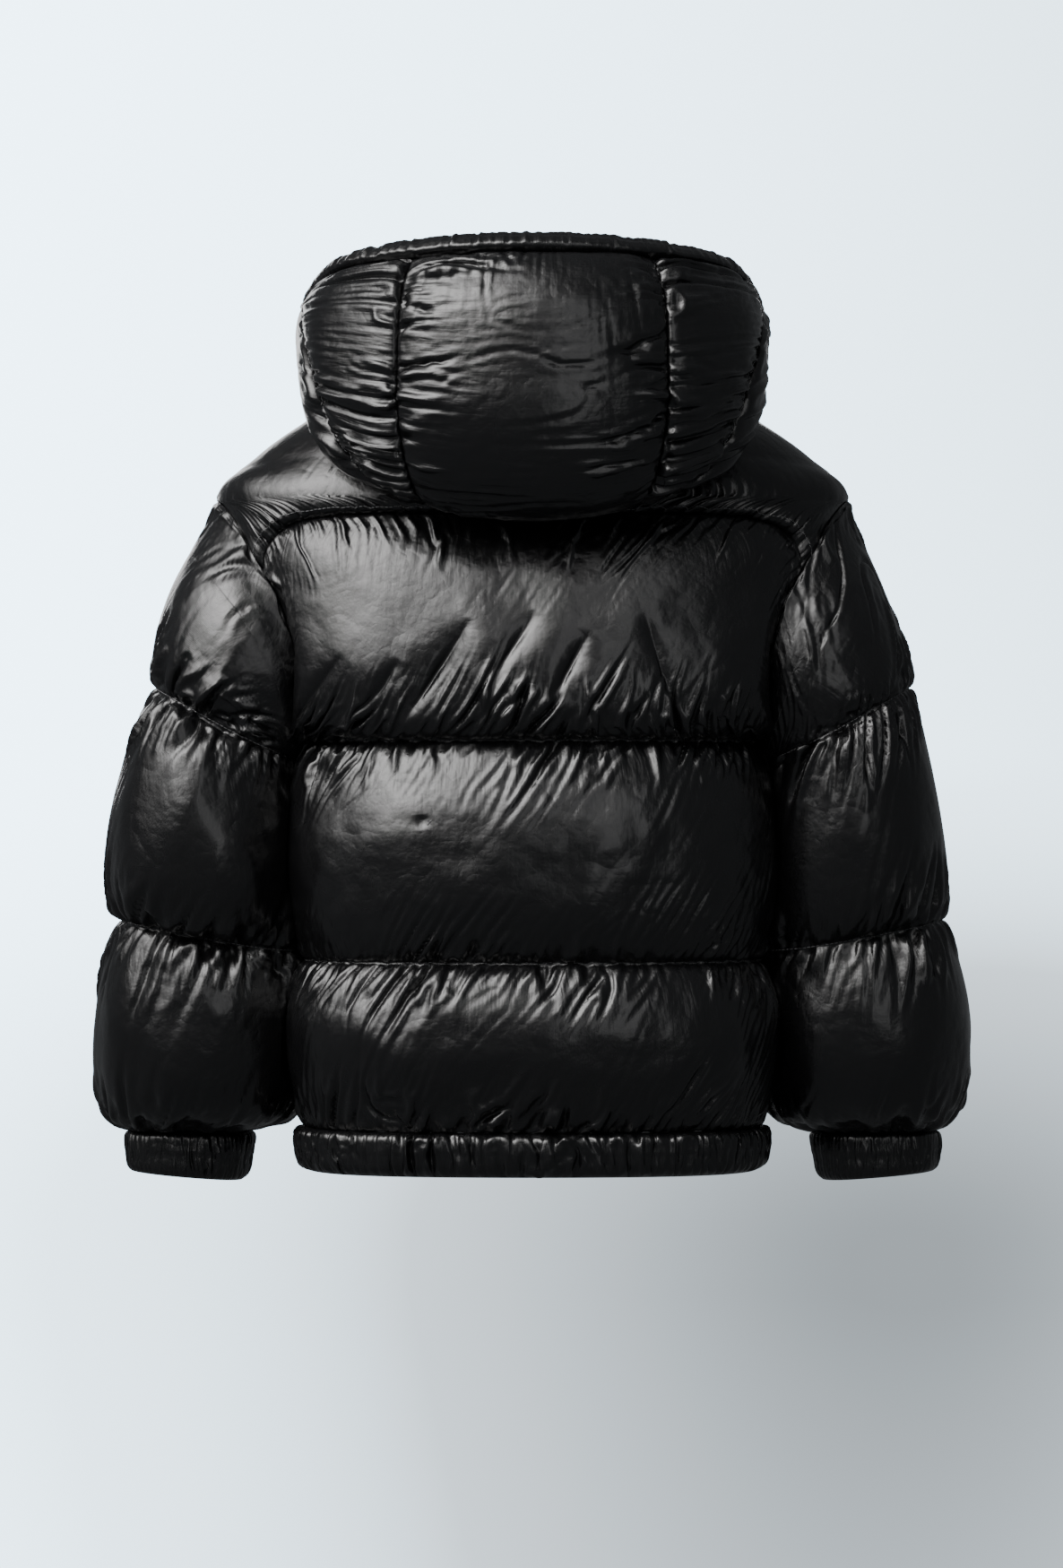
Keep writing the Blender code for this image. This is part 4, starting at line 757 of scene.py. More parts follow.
def padded_wall(name, outer, inner, panel, look, mirror=False):
    """One closed padded wall from its outer and inner grids, with the weave's UV map."""
    shapes = outer.shape[:2], inner.shape[:2]
    base, inner_count = (rows * columns for rows, columns in shapes)
    points = np.concatenate([outer.reshape(-1, 3), inner.reshape(-1, 3)])
    if mirror:
        points = points * MIRRORED
    quads = np.concatenate([grid_quads(first, *shape, panel.around)
                            for first, shape in zip((0, base), shapes)])
    rim = wall_rim(panel.around, *shapes, points)
    mesh = bpy.data.meshes.new(name)
    mesh.vertices.add(len(points))
    mesh.vertices.foreach_set("co", points.astype(np.float32).ravel())
    corners = np.concatenate([quads.ravel(), rim.ravel()]).astype(np.int32)
    starts = np.concatenate([np.arange(len(quads)) * 4, len(quads) * 4 + np.arange(len(rim)) * 3])
    mesh.loops.add(len(corners))
    mesh.loops.foreach_set("vertex_index", corners)
    mesh.polygons.add(len(starts))
    mesh.polygons.foreach_set("loop_start", starts.astype(np.int32))
    uv = mesh.uv_layers.new(name="weave")
    pairs = weave_map(panel, shapes[1], corners, len(quads))
    uv.data.foreach_set("uv", pairs.astype(np.float32).ravel())
    for kind, seam in (("level_pucker", panel.level_seam), ("side_pucker", panel.side_seam)):
        near = mesh.attributes.new(kind, "FLOAT", "POINT")
        values = np.concatenate([seam.ravel(), np.zeros(inner_count)])
        near.data.foreach_set("value", values.astype(np.float32))
    mesh.update(calc_edges=True)
    mesh.validate()
    shaped = bmesh.new()
    shaped.from_mesh(mesh)
    bmesh.ops.recalc_face_normals(shaped, faces=shaped.faces)
    shaped.to_mesh(mesh)
    shaped.free()
    mesh.materials.append(material(look))
    mesh.shade_smooth()
    return linked(name, mesh)


def linked(name, data):
    """A new object in the scene."""
    thing = bpy.data.objects.new(name, data)
    bpy.context.scene.collection.objects.link(thing)
    return thing


def coarser_inner(panel, row_step, column_step):
    """Every so-many-th point of the wall's inner surface, ends included."""
    last_row, last_column = panel.inside.shape[0] - 1, panel.inside.shape[1] - 1
    rows = np.unique(np.append(np.arange(0, last_row + 1, row_step), last_row))
    columns = np.arange(0, last_column + 1, column_step)
    if not panel.around:
        columns = np.unique(np.append(columns, last_column))
    return panel.inside[np.ix_(rows, columns)]


def dressed(name, nodes, panel, outer, inner_steps, fill, mirror=False):
    """A whole padded piece: its wall, and the solids it takes the place of; fill is not used."""
    piece = padded_wall(name, outer, coarser_inner(panel, *inner_steps), panel,
                        "glossy_black_nylon", mirror)
    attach(piece, "jacket")
    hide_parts(*nodes)
    return piece


# ---------------------------------------------------------------- small repeated things
def block_model(length, width, height):
    """One small block with softened edges, to be repeated."""
    bpy.ops.object.select_all(action="DESELECT")
    bpy.ops.mesh.primitive_cube_add(size=1)
    model = bpy.context.object
    model.scale = (length, width, height)
    bpy.ops.object.transform_apply(location=False, rotation=False, scale=True)
    bpy.ops.object.mode_set(mode="EDIT")
    bpy.ops.mesh.select_all(action="SELECT")
    bpy.ops.mesh.bevel(offset=0.28 * min(length, width, height), segments=1, affect="EDGES")
    bpy.ops.object.mode_set(mode="OBJECT")
    return model


def repeated(model, name, places, along, out, look):
    """One joined mesh with a copy of the model at each place: its X runs along, its Z stands out."""
    mesh = model.data
    shape = np.empty(len(mesh.vertices) * 3, np.float32)
    mesh.vertices.foreach_get("co", shape)
    shape = shape.reshape(-1, 3)
    faces = [np.array(face.vertices) for face in mesh.polygons]
    bpy.data.objects.remove(model)
    bpy.data.meshes.remove(mesh)
    along = unit(along)
    out = unit(out - along * (out * along).sum(-1, keepdims=True))
    turned = np.stack([along, np.cross(out, along), out], 1)
    points = places[:, None] + np.einsum("vk,nkj->nvj", shape, turned)
    numbered = [(face + n * len(shape)).tolist() for n in range(len(places)) for face in faces]
    joined = bpy.data.meshes.new(name)
    joined.from_pydata(points.reshape(-1, 3).tolist(), [], numbered)
    joined.materials.append(material(look))
    piece = linked(name, joined)
    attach(piece, "jacket")
    return piece


def along_line(points, out, pitch, start=0.5):
    """Places at an even pitch along a line of points, with the line's way and the way out there."""
    gone = np.concatenate([[0], np.cumsum(np.linalg.norm(np.diff(points, axis=0), axis=1))])
    at = np.arange(start * pitch, gone[-1], pitch)
    way = np.gradient(points, axis=0)
    return [np.stack([np.interp(at, gone, part[:, k]) for k in range(3)], 1)
            for part in (points, way, out)]


def sew(name, panel, outer, rows=(), columns=(), mirror=False):
    """Rows of stitches on a puffed panel, along rows and columns of its grid."""
    out = np.cross(np.gradient(outer, axis=1), np.gradient(outer, axis=0))
    out = unit(out * np.sign((out * panel.out).sum(-1, keepdims=True)))
    lines = []
    for r in rows:
        closed = np.r_[0:outer.shape[1], 0] if panel.around else np.r_[0:outer.shape[1]]
        lines.append(along_line(outer[r][closed], out[r][closed], STITCH_PITCH))
    for c in columns:
        lines.append(along_line(outer[:, c], out[:, c], STITCH_PITCH))
    places, along, out = (np.concatenate(part) for part in zip(*lines))
    if mirror:
        places, along, out = (part * MIRRORED for part in (places, along, out))
    model = block_model(STITCH_LENGTH, STITCH_WIDTH, STITCH_WIDTH)
    return repeated(model, name, places + out * STITCH_WIDTH * STITCH_LIFT, along, out,
                    "grey_thread")


# ---------------------------------------------------------------- body
def yoke_level(share, middle, drop):
    """Level of a yoke's seam; share is 0 at the body's middle and 1 at the armhole."""
    return middle - drop * np.abs(share) ** 4


def rows_along_armhole(low, high, count, above_share):
    """Shares of the way between two levels, spaced evenly round the armhole they run along."""
    above = int(round(count * above_share)) if high > SHOULDER_TIP else 0
    turns = np.arccos(np.clip((np.array([low, high]) - ARMHOLE_MIDDLE) / ARMHOLE_HALF, -1, 1))
    round_it = ARMHOLE_MIDDLE + ARMHOLE_HALF * np.cos(np.linspace(*turns, count - above + 1))
    levels = np.concatenate([round_it, np.linspace(SHOULDER_TIP, high, above + 1)[1:]])
    return (levels - low) / (high - low)


def body_grid(low, high, first_angle, last_angle, columns, rows, seams, armholes, above_share):
    """Levels, angles and heights within the channel of a panel's points."""
    shares = np.linspace(0, 1, columns + 1)
    edges = [low(shares)] + [np.full_like(shares, s) for s in seams] + [high(shares)]
    near = sum(np.exp(-np.abs(shares - (1 if column else 0)) / 0.10) for column, _, _ in armholes)
    levels, heights = [], []
    for k, count in enumerate(rows):
        last = k == len(rows) - 1
        part = np.linspace(0, 1, count + 1)
        turned = part
        if last and armholes:
            column = armholes[0][0]
            turned = rows_along_armhole(edges[k][column], edges[k + 1][column], count, above_share)
        for i in range(count + (1 if last else 0)):
            p = part[i] + (turned[i] - part[i]) * near
            levels.append(edges[k] + (edges[k + 1] - edges[k]) * p)
            heights.append(p)
    levels, heights = np.array(levels), np.array(heights)
    first, last = first_angle(levels), last_angle(levels)
    return levels, first + (last - first) * shares, heights


def body_panel(low, high, first_angle, last_angle, columns, rows, seams, crown, armholes, seed,
               above_share=0.0, gathered=BODY_GATHER, slant=0.0, folded=1.0,
               side_folded=SIDE_FOLDED, shoulder=0.0):
    """A panel of the body, ready to puff up.

    low, high, first_angle and last_angle give its edges, seams the levels quilted between them.
    armholes lists (column beside it, side of the body, 1 behind or -1 in front).
    """
    levels, angles, heights = body_grid(low, high, first_angle, last_angle, columns, rows, seams,
                                        armholes, above_share)
    inside = body_surface(levels, angles)
    out = -normals(body_surface, levels, angles)
    from_first = np.linalg.norm(inside - inside[:, :1], axis=-1)
    from_last = np.linalg.norm(inside - inside[:, -1:], axis=-1)
    rounding = rise(from_first, EDGE_ROUNDING) * rise(from_last, EDGE_ROUNDING)
    seamed = np.zeros(levels.shape)
    for column, side_sign, behind in armholes:
        share = (levels[:, column] - ARMHOLE_MIDDLE) / ARMHOLE_HALF
        turned = behind * np.arccos(np.clip(share, -1, 1))
        from_edge = from_last if column else from_first
        distance = np.where(np.abs(share) < 1, 0, 1)[:, None] + from_edge
        shared = armhole_out(turned)[0] * np.array([side_sign, 1, 1])
        out = lean(out, shared[:, None], distance)
        seamed += armhole_raise((1 - armpit_share(turned))[:, None], distance)
    on_shoulder = np.clip((heights - SHOULDER_LOW) / SHOULDER_RISE, 0, 1)
    proud = side_crown(levels, angles, crown) * (
        1 + shoulder * np.abs(np.sin(angles)) ** 3 * on_shoulder)
    pillow = proud * channel(heights, droop_at(levels)) * rounding
    dents = (BROAD_DENT * wavy(levels.shape, DENT_GRID, 0.070, 0.055, seed + 400)
             + np.where(levels > HIGH_QUILT, HIGH_SMALL_DENT, SMALL_DENT)
             * wavy(levels.shape, DENT_GRID, 0.026, 0.022, seed + 401))
    pillow = pillow * (1 - np.clip(dents, -DENT_LIMIT, DENT_LIMIT))
    pillow = pillow - np.minimum(fold_depth(inside, BODY_FOLDS), 0.6 * pillow)
    raised = SEAM_WALL + np.hypot(pillow, seamed)
    sewn = np.zeros(raised.shape, bool)
    starts = np.concatenate([[0], np.cumsum(rows)])
    sewn[starts] = True
    sewn[:, [0, -1]] = True
    panel = Panel(inside, out, raised, sewn)
    length = np.repeat(rows, rows)
    tall = np.append(length, length[-1])[:, None] * panel.cell[0]
    to_seam = np.minimum(heights, 1 - heights) * tall
    to_side = np.minimum(from_first, from_last)
    uneven = 1 + UNEVEN * wavy(raised.shape, panel.cell, *UNEVEN_LENGTHS, seed + 7)
    panel.full_across = gathering(to_seam, gathered * uneven, SLACK)
    panel.full_up = gathering(to_side, SIDE_GATHER, SLACK)
    panel.level_seam = pucker(to_seam) * (0.5 if shoulder else 1.0)
    panel.side_seam = 0.8 * np.exp(-(to_side / SIDE_PUCKER_REACH) ** 2)
    fading_up = np.where(levels > HIGH_QUILT, 1.35 - 1.15 * heights, 1.0)
    panel.creased = (creases(raised.shape, panel.cell, to_seam, seed + 100, slant, strength=folded)
                     * fading_up
                     + creases(raised.shape, panel.cell, to_side, seed + 200, 0, True, side_folded)
                     * np.exp(-(to_side / 0.05) ** 2))
    if shoulder:
        panel.creased = panel.creased * rise(to_side, 0.07)
    panel.sag = np.zeros(inside.shape)
    panel.sag[starts] = seam_sag(inside[starts])
    return panel


def left_of_back(level):
    """Where the left side seam runs behind, as an angle round the body."""
    return np.pi / 2 + armhole_turn(level) + SIDE_GAP


def right_of_back(level):
    """Where the right side seam runs behind."""
    return 3 * np.pi / 2 - armhole_turn(level) - SIDE_GAP


def front_outer(level):
    """Where the left side seam runs in front."""
    return np.pi / 2 - armhole_turn(level) - SIDE_GAP


def front_inner(level):
    """Where the left front ends beside the zip."""
    half_width = np.abs(body_surface(level, np.full_like(level, ZIP_PROBE))[..., 0])
    return ZIP_PROBE * ZIP_HALF_WIDTH / half_width


def flat(level):
    """An edge that keeps to one level."""
    return lambda share: np.full_like(share, level)


def back_yoke_seam(offset):
    """The curved seam under the back yoke, moved up or down by the offset."""
    return lambda share: yoke_level(2 * share - 1, YOKE_MIDDLE, YOKE_DROP) + offset


def front_yoke_seam(offset):
    """The same under a front yoke, from the armhole to the zip."""
    return lambda share: yoke_level(1 - share, FRONT_YOKE_MIDDLE, FRONT_YOKE_DROP) + offset


def make_back():
    """The back with its quilting seams and the one crossed stitch of its tuft."""
    panel = body_panel(flat(HEM_SEAM + SET_BACK), back_yoke_seam(-SET_BACK), left_of_back,
                       right_of_back, BACK_COLUMNS, BACK_ROWS, (LOW_QUILT, HIGH_QUILT), BODY_CROWN,
                       BACK_ARMHOLES, BACK_SEED, slant=BACK_SLANT)
    outer = panel.puff(BACK_SEED, BACK_SLANT)
    dressed("back_cloth", ["back"], panel, outer, (10, 8), BODY_FILL)
    sew("back_stitches", panel, outer, rows=BODY_SEAM_ROWS)
    tuft = np.argmin(np.hypot(outer[..., 0] - TUFT_X, outer[..., 2] - TUFT_Z))
    place = np.repeat(outer.reshape(-1, 3)[tuft][None], 2, 0) + np.array([0, TUFT_LIFT, 0])
    crossed = np.array([[1.0, 0.0, 1.0], [-1.0, 0.0, 1.0]])
    repeated(block_model(*TUFT_STITCH), "back_tuft", place, crossed,
             np.array([[0.0, 1.0, 0.0]] * 2), "grey_thread")


def make_back_yoke():
    """The back yoke, gathered along its curved seam."""
    panel = body_panel(back_yoke_seam(SET_BACK), flat(NECK_SEAM), left_of_back, right_of_back,
                       BACK_COLUMNS, YOKE_ROWS, (), YOKE_CROWN, BACK_ARMHOLES, BACK_YOKE_SEED,
                       BACK_SHARE_ABOVE_TIP, YOKE_GATHER, folded=YOKE_FOLDED,
                       side_folded=YOKE_SIDE_FOLDED, shoulder=YOKE_SHOULDER)
    outer = panel.puff(BACK_YOKE_SEED)
    dressed("back_yoke_cloth", ["back_yoke"], panel, outer, (8, 8), YOKE_FILL)
    sew("back_yoke_stitches", panel, outer, rows=(2,))


def make_front(name, sign):
    """One front and its yoke; sign is 1 on the left and -1 on the right."""
    def outer_line(level):
        return sign * front_outer(level)

    def inner_line(level):
        return sign * front_inner(level)

    armholes, slant, seed = ((0, sign, -1),), -FRONT_SLANT * sign, FRONT_SEEDS[name]
    panel = body_panel(flat(HEM_SEAM + SET_BACK), front_yoke_seam(-SET_BACK), outer_line, inner_line,
                       FRONT_COLUMNS, FRONT_ROWS, (LOW_QUILT, HIGH_QUILT), BODY_CROWN, armholes,
                       seed, slant=slant)
    outer = panel.puff(seed, slant)
    dressed("front_cloth_" + name, ["front_" + name], panel, outer, (10, 9), BODY_FILL)
    sew("front_stitches_" + name, panel, outer, rows=BODY_SEAM_ROWS, columns=(-3,))
    seed += YOKE_SEED_STEP
    yoke = body_panel(front_yoke_seam(SET_BACK), flat(NECK_SEAM), outer_line, inner_line,
                      FRONT_COLUMNS, YOKE_ROWS, (), YOKE_CROWN, armholes, seed,
                      FRONT_SHARE_ABOVE_TIP, YOKE_GATHER, folded=YOKE_FOLDED,
                      side_folded=YOKE_SIDE_FOLDED, shoulder=YOKE_SHOULDER)
    outer = yoke.puff(seed)
    dressed("front_yoke_cloth_" + name, ["front_yoke_" + name], yoke, outer, (8, 9), YOKE_FILL)
    sew("front_yoke_stitches_" + name, yoke, outer, rows=(2,), columns=(-3,))


# ---------------------------------------------------------------- bands
def band_bulge(share):
    """How far a band's cloth stands out at a share down it, with a rounded lower edge."""
    bulge = rise(share, 0.20) * np.sqrt(1 - np.clip((share - 0.72) / 0.28, 0, 1) ** 2)
    return bulge * (1 - BAND_TAPER * share)


def band_panel(surface, rows, angles, crown, around, full, seed, ribs, ends=None):
    """An elastic band, ready to puff up; ends says where along it the cloth stands out."""
    share = np.linspace(0, 1, rows)
    share_grid, angle_grid = np.meshgrid(share, angles, indexing="ij")
    inside = surface(share_grid, angle_grid)
    out = normals(surface, share_grid, angle_grid)
    from_middle = inside[0, 0] - inside.reshape(-1, 3).mean(0)
    if (out[0, 0] * from_middle).sum() < 0:
        out = -out
    bulge = band_bulge(share)[:, None] * (1 if ends is None else ends[None])
    raised = np.where(share_grid < 0.5, SEAM_WALL + crown * bulge,
                      BAND_EDGE_WALL + (SEAM_WALL + crown - BAND_EDGE_WALL) * bulge)
    sewn = np.zeros(raised.shape, bool)
    sewn[[0, -1]] = True
    if not around:
        sewn[:, [0, -1]] = True
    panel = Panel(inside, out, raised, sewn, around)
    panel.level_seam = np.ones(raised.shape)
    panel.full_across = full * (1 + 0.5 * wavy(raised.shape, panel.cell, 0.2, 0.03, seed + 5))
    panel.full_up = np.full(raised.shape, 0.01)
    to_edge = np.minimum(share_grid, 1 - share_grid) * panel.cell[0] * len(share)
    panel.creased = creases(raised.shape, panel.cell, to_edge, seed + 9, BAND_SLANT, sizes=ribs,
                            patchy=0.4)
    return panel


def open_band(start, columns, reach):
    """Angles of a band that stops on both sides of the zip, and how it rises from its two ends."""
    angles = np.linspace(start, 2 * np.pi - start, columns + 1)
    return angles, rise(np.minimum(angles - start, 2 * np.pi - start - angles), reach)


def make_hem_band():
    """The elastic hem band, ribbed by its gathers."""
    top = HEM_SEAM - SET_BACK

    def surface(share, angle):
        return body_surface(top + (HEM_BOTTOM - top) * share, angle)

    angles, ends = open_band(front_inner(np.array(HEM_SEAM)), HEM_COLUMNS, 0.06)
    panel = band_panel(surface, HEM_ROWS, angles, BAND_CROWN, False, HEM_FULL, HEM_SEED, HEM_RIBS,
                       ends)
    outer = panel.puff(HEM_SEED, 0.0, *HEM_PUFF)
    dressed("hem_band_cloth", ["hem_band"], panel, outer, (20, 8), HEM_FILL)


def make_cuff(name, mirror):
    """An elastic cuff; the right one is puffed as a left one, mirrored."""
    inner_x, inner_z, outer_x, outer_z, mid_y, half_depth = SLEEVE_SECTIONS[-1][1:]
    top = (inner_x, inner_z - SEAM_GAP / 2, outer_x, outer_z - SEAM_GAP / 2, mid_y, half_depth)
    bottom = CUFF_BOTTOM + (mid_y, half_depth)

    def surface(share, angle):
        share, angle = np.broadcast_arrays(share, angle)
        first, last = oval_section(*top, angle), oval_section(*bottom, angle)
        return first + (last - first) * share[..., None]

    angles = np.arange(CUFF_COLUMNS) * 2 * np.pi / CUFF_COLUMNS
    seed = CUFF_SEEDS[name]
    panel = band_panel(surface, CUFF_ROWS, angles, CUFF_CROWN, True, CUFF_FULL, seed, CUFF_RIBS)
    outer = panel.puff(seed, 0.0, *CUFF_PUFF)
    dressed("cuff_cloth_" + name, ["cuff_" + name], panel, outer, (16, 10), EDGE_FILL, mirror)


def make_brim():
    """The elastic band along the hood's edge."""
    top = BRIM_SEAM + HOOD_SET_BACK

    def surface(share, angle):
        return hood_surface(top + (1.0 - top) * share, angle)

    angles, ends = open_band(hood_edge(np.array(BRIM_SEAM)), BRIM_COLUMNS, 0.10)
    panel = band_panel(surface, BRIM_ROWS, angles, BRIM_CROWN, False, BRIM_FULL, BRIM_SEED,
                       BRIM_RIBS, ends)
    outer = panel.puff(BRIM_SEED, BRIM_SLANT, *BRIM_PUFF)
    dressed("hood_brim_cloth", ["hood_brim"], panel, outer, (16, 8), EDGE_FILL)


# ---------------------------------------------------------------- sleeves
def sleeve_crown(name, which, angle, room):
    """How far each channel of a sleeve stands out: less towards the body, more behind."""
    facing_body = ((1 - np.cos(angle)) / 2) ** 2
    behind = np.clip(np.sin(angle), 0, 1) ** 2
    crown = np.array(SLEEVE_CROWNS)[which][:, None]
    fuller = np.array(SLEEVE_FULLER_BEHIND[name])[which][:, None]
    proud = crown * (1 - (1 - SLEEVE_INNER_SHARE) * facing_body) * room * (1 + fuller * behind)
    if name == "right":
        outer_side = ((1 + np.cos(angle)) / 2) ** 2
        proud = proud * (1 - SLIMMER_OUTSIDE * outer_side * (which < 2)[:, None])
    return proud


def make_sleeve(name, mirror):
    """One sleeve from the armhole to the cuff; the right one is puffed as a left one, mirrored."""
    seed = SLEEVE_SEEDS[name]
    angles = np.arange(SLEEVE_COLUMNS) * 2 * np.pi / SLEEVE_COLUMNS
    along = np.concatenate([k + np.arange(count) / count
                            for k, count in enumerate(SLEEVE_ROWS)] + [[3.0]])
    along_grid, angle_grid = np.meshgrid(along, angles, indexing="ij")
    inside = sleeve_surface(along_grid, angle_grid)
    from_armhole = np.linalg.norm(inside - inside[:1], axis=-1)
    out = normals(sleeve_surface, np.clip(along_grid, 0.002, 2.998), angle_grid)
    out = lean(out, armhole_out(angles)[1][None], from_armhole)
    level_out = unit(out[-1:] * np.array([1, 1, 0]))
    out = lean(out, level_out, np.linalg.norm(inside - inside[-1:], axis=-1))
    starts = np.concatenate([[0], np.cumsum(SLEEVE_ROWS)])
    channel_length = np.linalg.norm(np.diff(inside[starts], axis=0), axis=-1)
    which = np.minimum(np.floor(along + 1e-9).astype(int), 2)
    heights = along_grid - which[:, None]
    room = np.clip(channel_length[which] / 0.10, 0, 1)
    proud = sleeve_crown(name, which, angle_grid, room)
    droop = np.array(SLEEVE_DROOPS)[which][:, None]
    seamed = armhole_raise((1 - armpit_share(angles))[None], from_armhole)
    dents = np.clip(wavy(along_grid.shape, SLEEVE_DENT_GRID, 0.060, 0.060, seed), *SLEEVE_DENT_LIMITS)
    pillow = proud * channel(1 - heights, droop) * (1 - SLEEVE_DENT * dents)
    facing_body = ((1 - np.cos(angle_grid)) / 2) ** 2
    pressed = (SLEEVE_PRESSED * facing_body ** 1.5 * rise(from_armhole, 0.02)
               * rise(3.0 - along_grid, 0.9))
    raised = SEAM_WALL + np.hypot(pillow, np.maximum(seamed, pressed))
    raised = np.clip(body_clearance(inside, out), np.minimum(SEAM_WALL, raised), raised)
    sewn = np.zeros(raised.shape, bool)
    sewn[starts] = True
    panel = Panel(inside, out, raised, sewn, True)
    to_seam = np.minimum(heights, 1 - heights) * channel_length[which]
    uneven = 1 + UNEVEN * wavy(raised.shape, panel.cell, *UNEVEN_LENGTHS, seed + 7)
    calm = 1 - 0.6 * np.exp(-(from_armhole / 0.030) ** 2)
    panel.full_across = gathering(to_seam, SLEEVE_GATHER * uneven * room * calm, SLACK)
    panel.full_up = np.full(raised.shape, SLACK)
    panel.level_seam = pucker(to_seam) * calm
    slant = SLEEVE_SLANT if mirror else -SLEEVE_SLANT
    folds = creases(raised.shape, panel.cell, to_seam, seed + 100, slant)
    panel.creased = SLEEVE_FOLDED * folds * room * calm
    outer = panel.puff(seed, slant)
    nodes = ["sleeve_" + name + part for part in ("_upper", "_middle", "_lower")]
    dressed("sleeve_cloth_" + name, nodes, panel, outer, (12, 8), BODY_FILL, mirror)
    sew("sleeve_stitches_" + name, panel, outer, rows=starts[1:3], mirror=mirror)


# ---------------------------------------------------------------- hood
def hood_edge(station):
    """Where the hood ends beside the zip, as an angle round the neck."""
    radius = from_table(HOOD_STATIONS, HOOD_SECTIONS[0][0], station)[0]
    return np.arcsin(ZIP_HALF_WIDTH / radius)


def wing_seam(station):
    """The seam between the left wing and side panels."""
    return np.radians(from_table(WING_SEAM_STATIONS, WING_SEAM_DEGREES, station)[0])


def centre_seam(station):
    """The seam between the left side panel and the centre panel."""
    return np.full_like(station, np.radians(HOOD_CENTRE_SEAM))


def hood_panel(name, node, first_angle, last_angle, grid, seed, mirror=False,
               gathered=(0.0, 0.0), fold_station=0.0,
               seam_shares=(HOOD_SEAM_SHARE, HOOD_SEAM_SHARE), sewn_column=0):
    """A hood panel between two seams.

    gathered says how strongly each of them is gathered, seam_shares how much of the crown is left
    there.  fold_station places one long fold across the panel.
    """
    columns, rows = grid
    stations = np.linspace(0, BRIM_SEAM - HOOD_SET_BACK, rows + 1)
    shares = np.linspace(0, 1, columns + 1)
    station_grid = np.repeat(stations[:, None], columns + 1, 1)
    first, last = first_angle(station_grid), last_angle(station_grid)
    angle_grid = first + (last - first) * shares
    inside = hood_surface(station_grid, angle_grid)
    out = -normals(hood_surface, np.clip(station_grid, 0.002, 0.998), angle_grid)
    from_first = np.linalg.norm(inside - inside[:, :1], axis=-1)
    from_last = np.linalg.norm(inside - inside[:, -1:], axis=-1)
    reach = np.minimum(HOOD_EDGE_ROUNDING, 0.5 * np.maximum(from_first[:, -1:], 0.01))
    rounding = [share + (1 - share) * rise(distance, reach)
                for share, distance in zip(seam_shares, (from_first, from_last))]
    rounding = rounding[0] * rounding[1]
    yoke_out = -normals(body_surface, np.full_like(angle_grid[:1], NECK_SEAM), angle_grid[:1])
    from_neck = np.linalg.norm(inside - inside[:1], axis=-1)
    out = lean(out, unit(out[:1] + yoke_out), from_neck * 2)
    free = np.clip((station_grid - HOOD_LOW_STATION) / HOOD_FREE_REACH, 0, 1)
    proud = HOOD_CROWN * (HOOD_UNDER_SHARE + (1 - HOOD_UNDER_SHARE) * free * free * (3 - 2 * free))
    sideways = 1 - np.abs(np.cos(angle_grid))
    proud = proud * (1 - HOOD_SIDE_LOSS * sideways)
    ends = rise(station_grid, 0.30) * rise(BRIM_SEAM - station_grid, 0.16)
    raised = SEAM_WALL + proud * rounding * ends
    sewn = np.zeros(raised.shape, bool)
    sewn[[0, -1]] = True
    sewn[:, [0, -1]] = True
    panel = Panel(inside, out, raised, sewn)
    uneven = 1 + HOOD_UNEVEN * wavy(raised.shape, panel.cell, *HOOD_UNEVEN_LENGTHS, seed + 7)
    beside = (gathered[0] * gathering(from_first, HOOD_GATHER)
              + gathered[1] * gathering(from_last, HOOD_GATHER))
    panel.full_up = free * (beside * uneven + SLACK)
    to_brim = (BRIM_SEAM - station_grid) * HOOD_LENGTH
    panel.full_across = free * gathering(to_brim, 0.05, SLACK)
    seamed = (gathered[0] * np.exp(-(from_first / 0.05) ** 2)
              + gathered[1] * np.exp(-(from_last / 0.05) ** 2))
    panel.side_seam = np.clip(0.15 + seamed, 0, 1) * free
    panel.level_seam = 0.6 * np.exp(-(to_brim / 0.02) ** 2)
    to_seam = np.minimum(np.where(gathered[0] > 0, from_first, 1), from_last)
    panel.creased = free * (creases(raised.shape, panel.cell, to_seam, seed + 100, 0, True, 1.0,
                                    HOOD_CREASES, 0.6)
                            + creases(raised.shape, panel.cell, to_brim, seed + 200,
                                      strength=TO_BRIM_FOLDED)
                            * np.exp(-(to_brim / 0.05) ** 2))
    if fold_station:
        wander = 0.008 * wavy((1, shares.size), panel.cell, 1, 0.06, seed + 300)
        across = np.exp(-np.abs(station_grid - fold_station - wander) / 0.010)
        fold = across * np.sin(np.pi * np.clip(shares, 0, 1)) ** 0.3
        panel.creased += HOOD_FOLD_DEPTH * fold
    outer = panel.puff(seed)
    dressed(name, [node], panel, outer, (6, 8), HOOD_FILL, mirror)
    if sewn_column:
        sew(name.replace("cloth", "stitches"), panel, outer, columns=(sewn_column,), mirror=mirror)


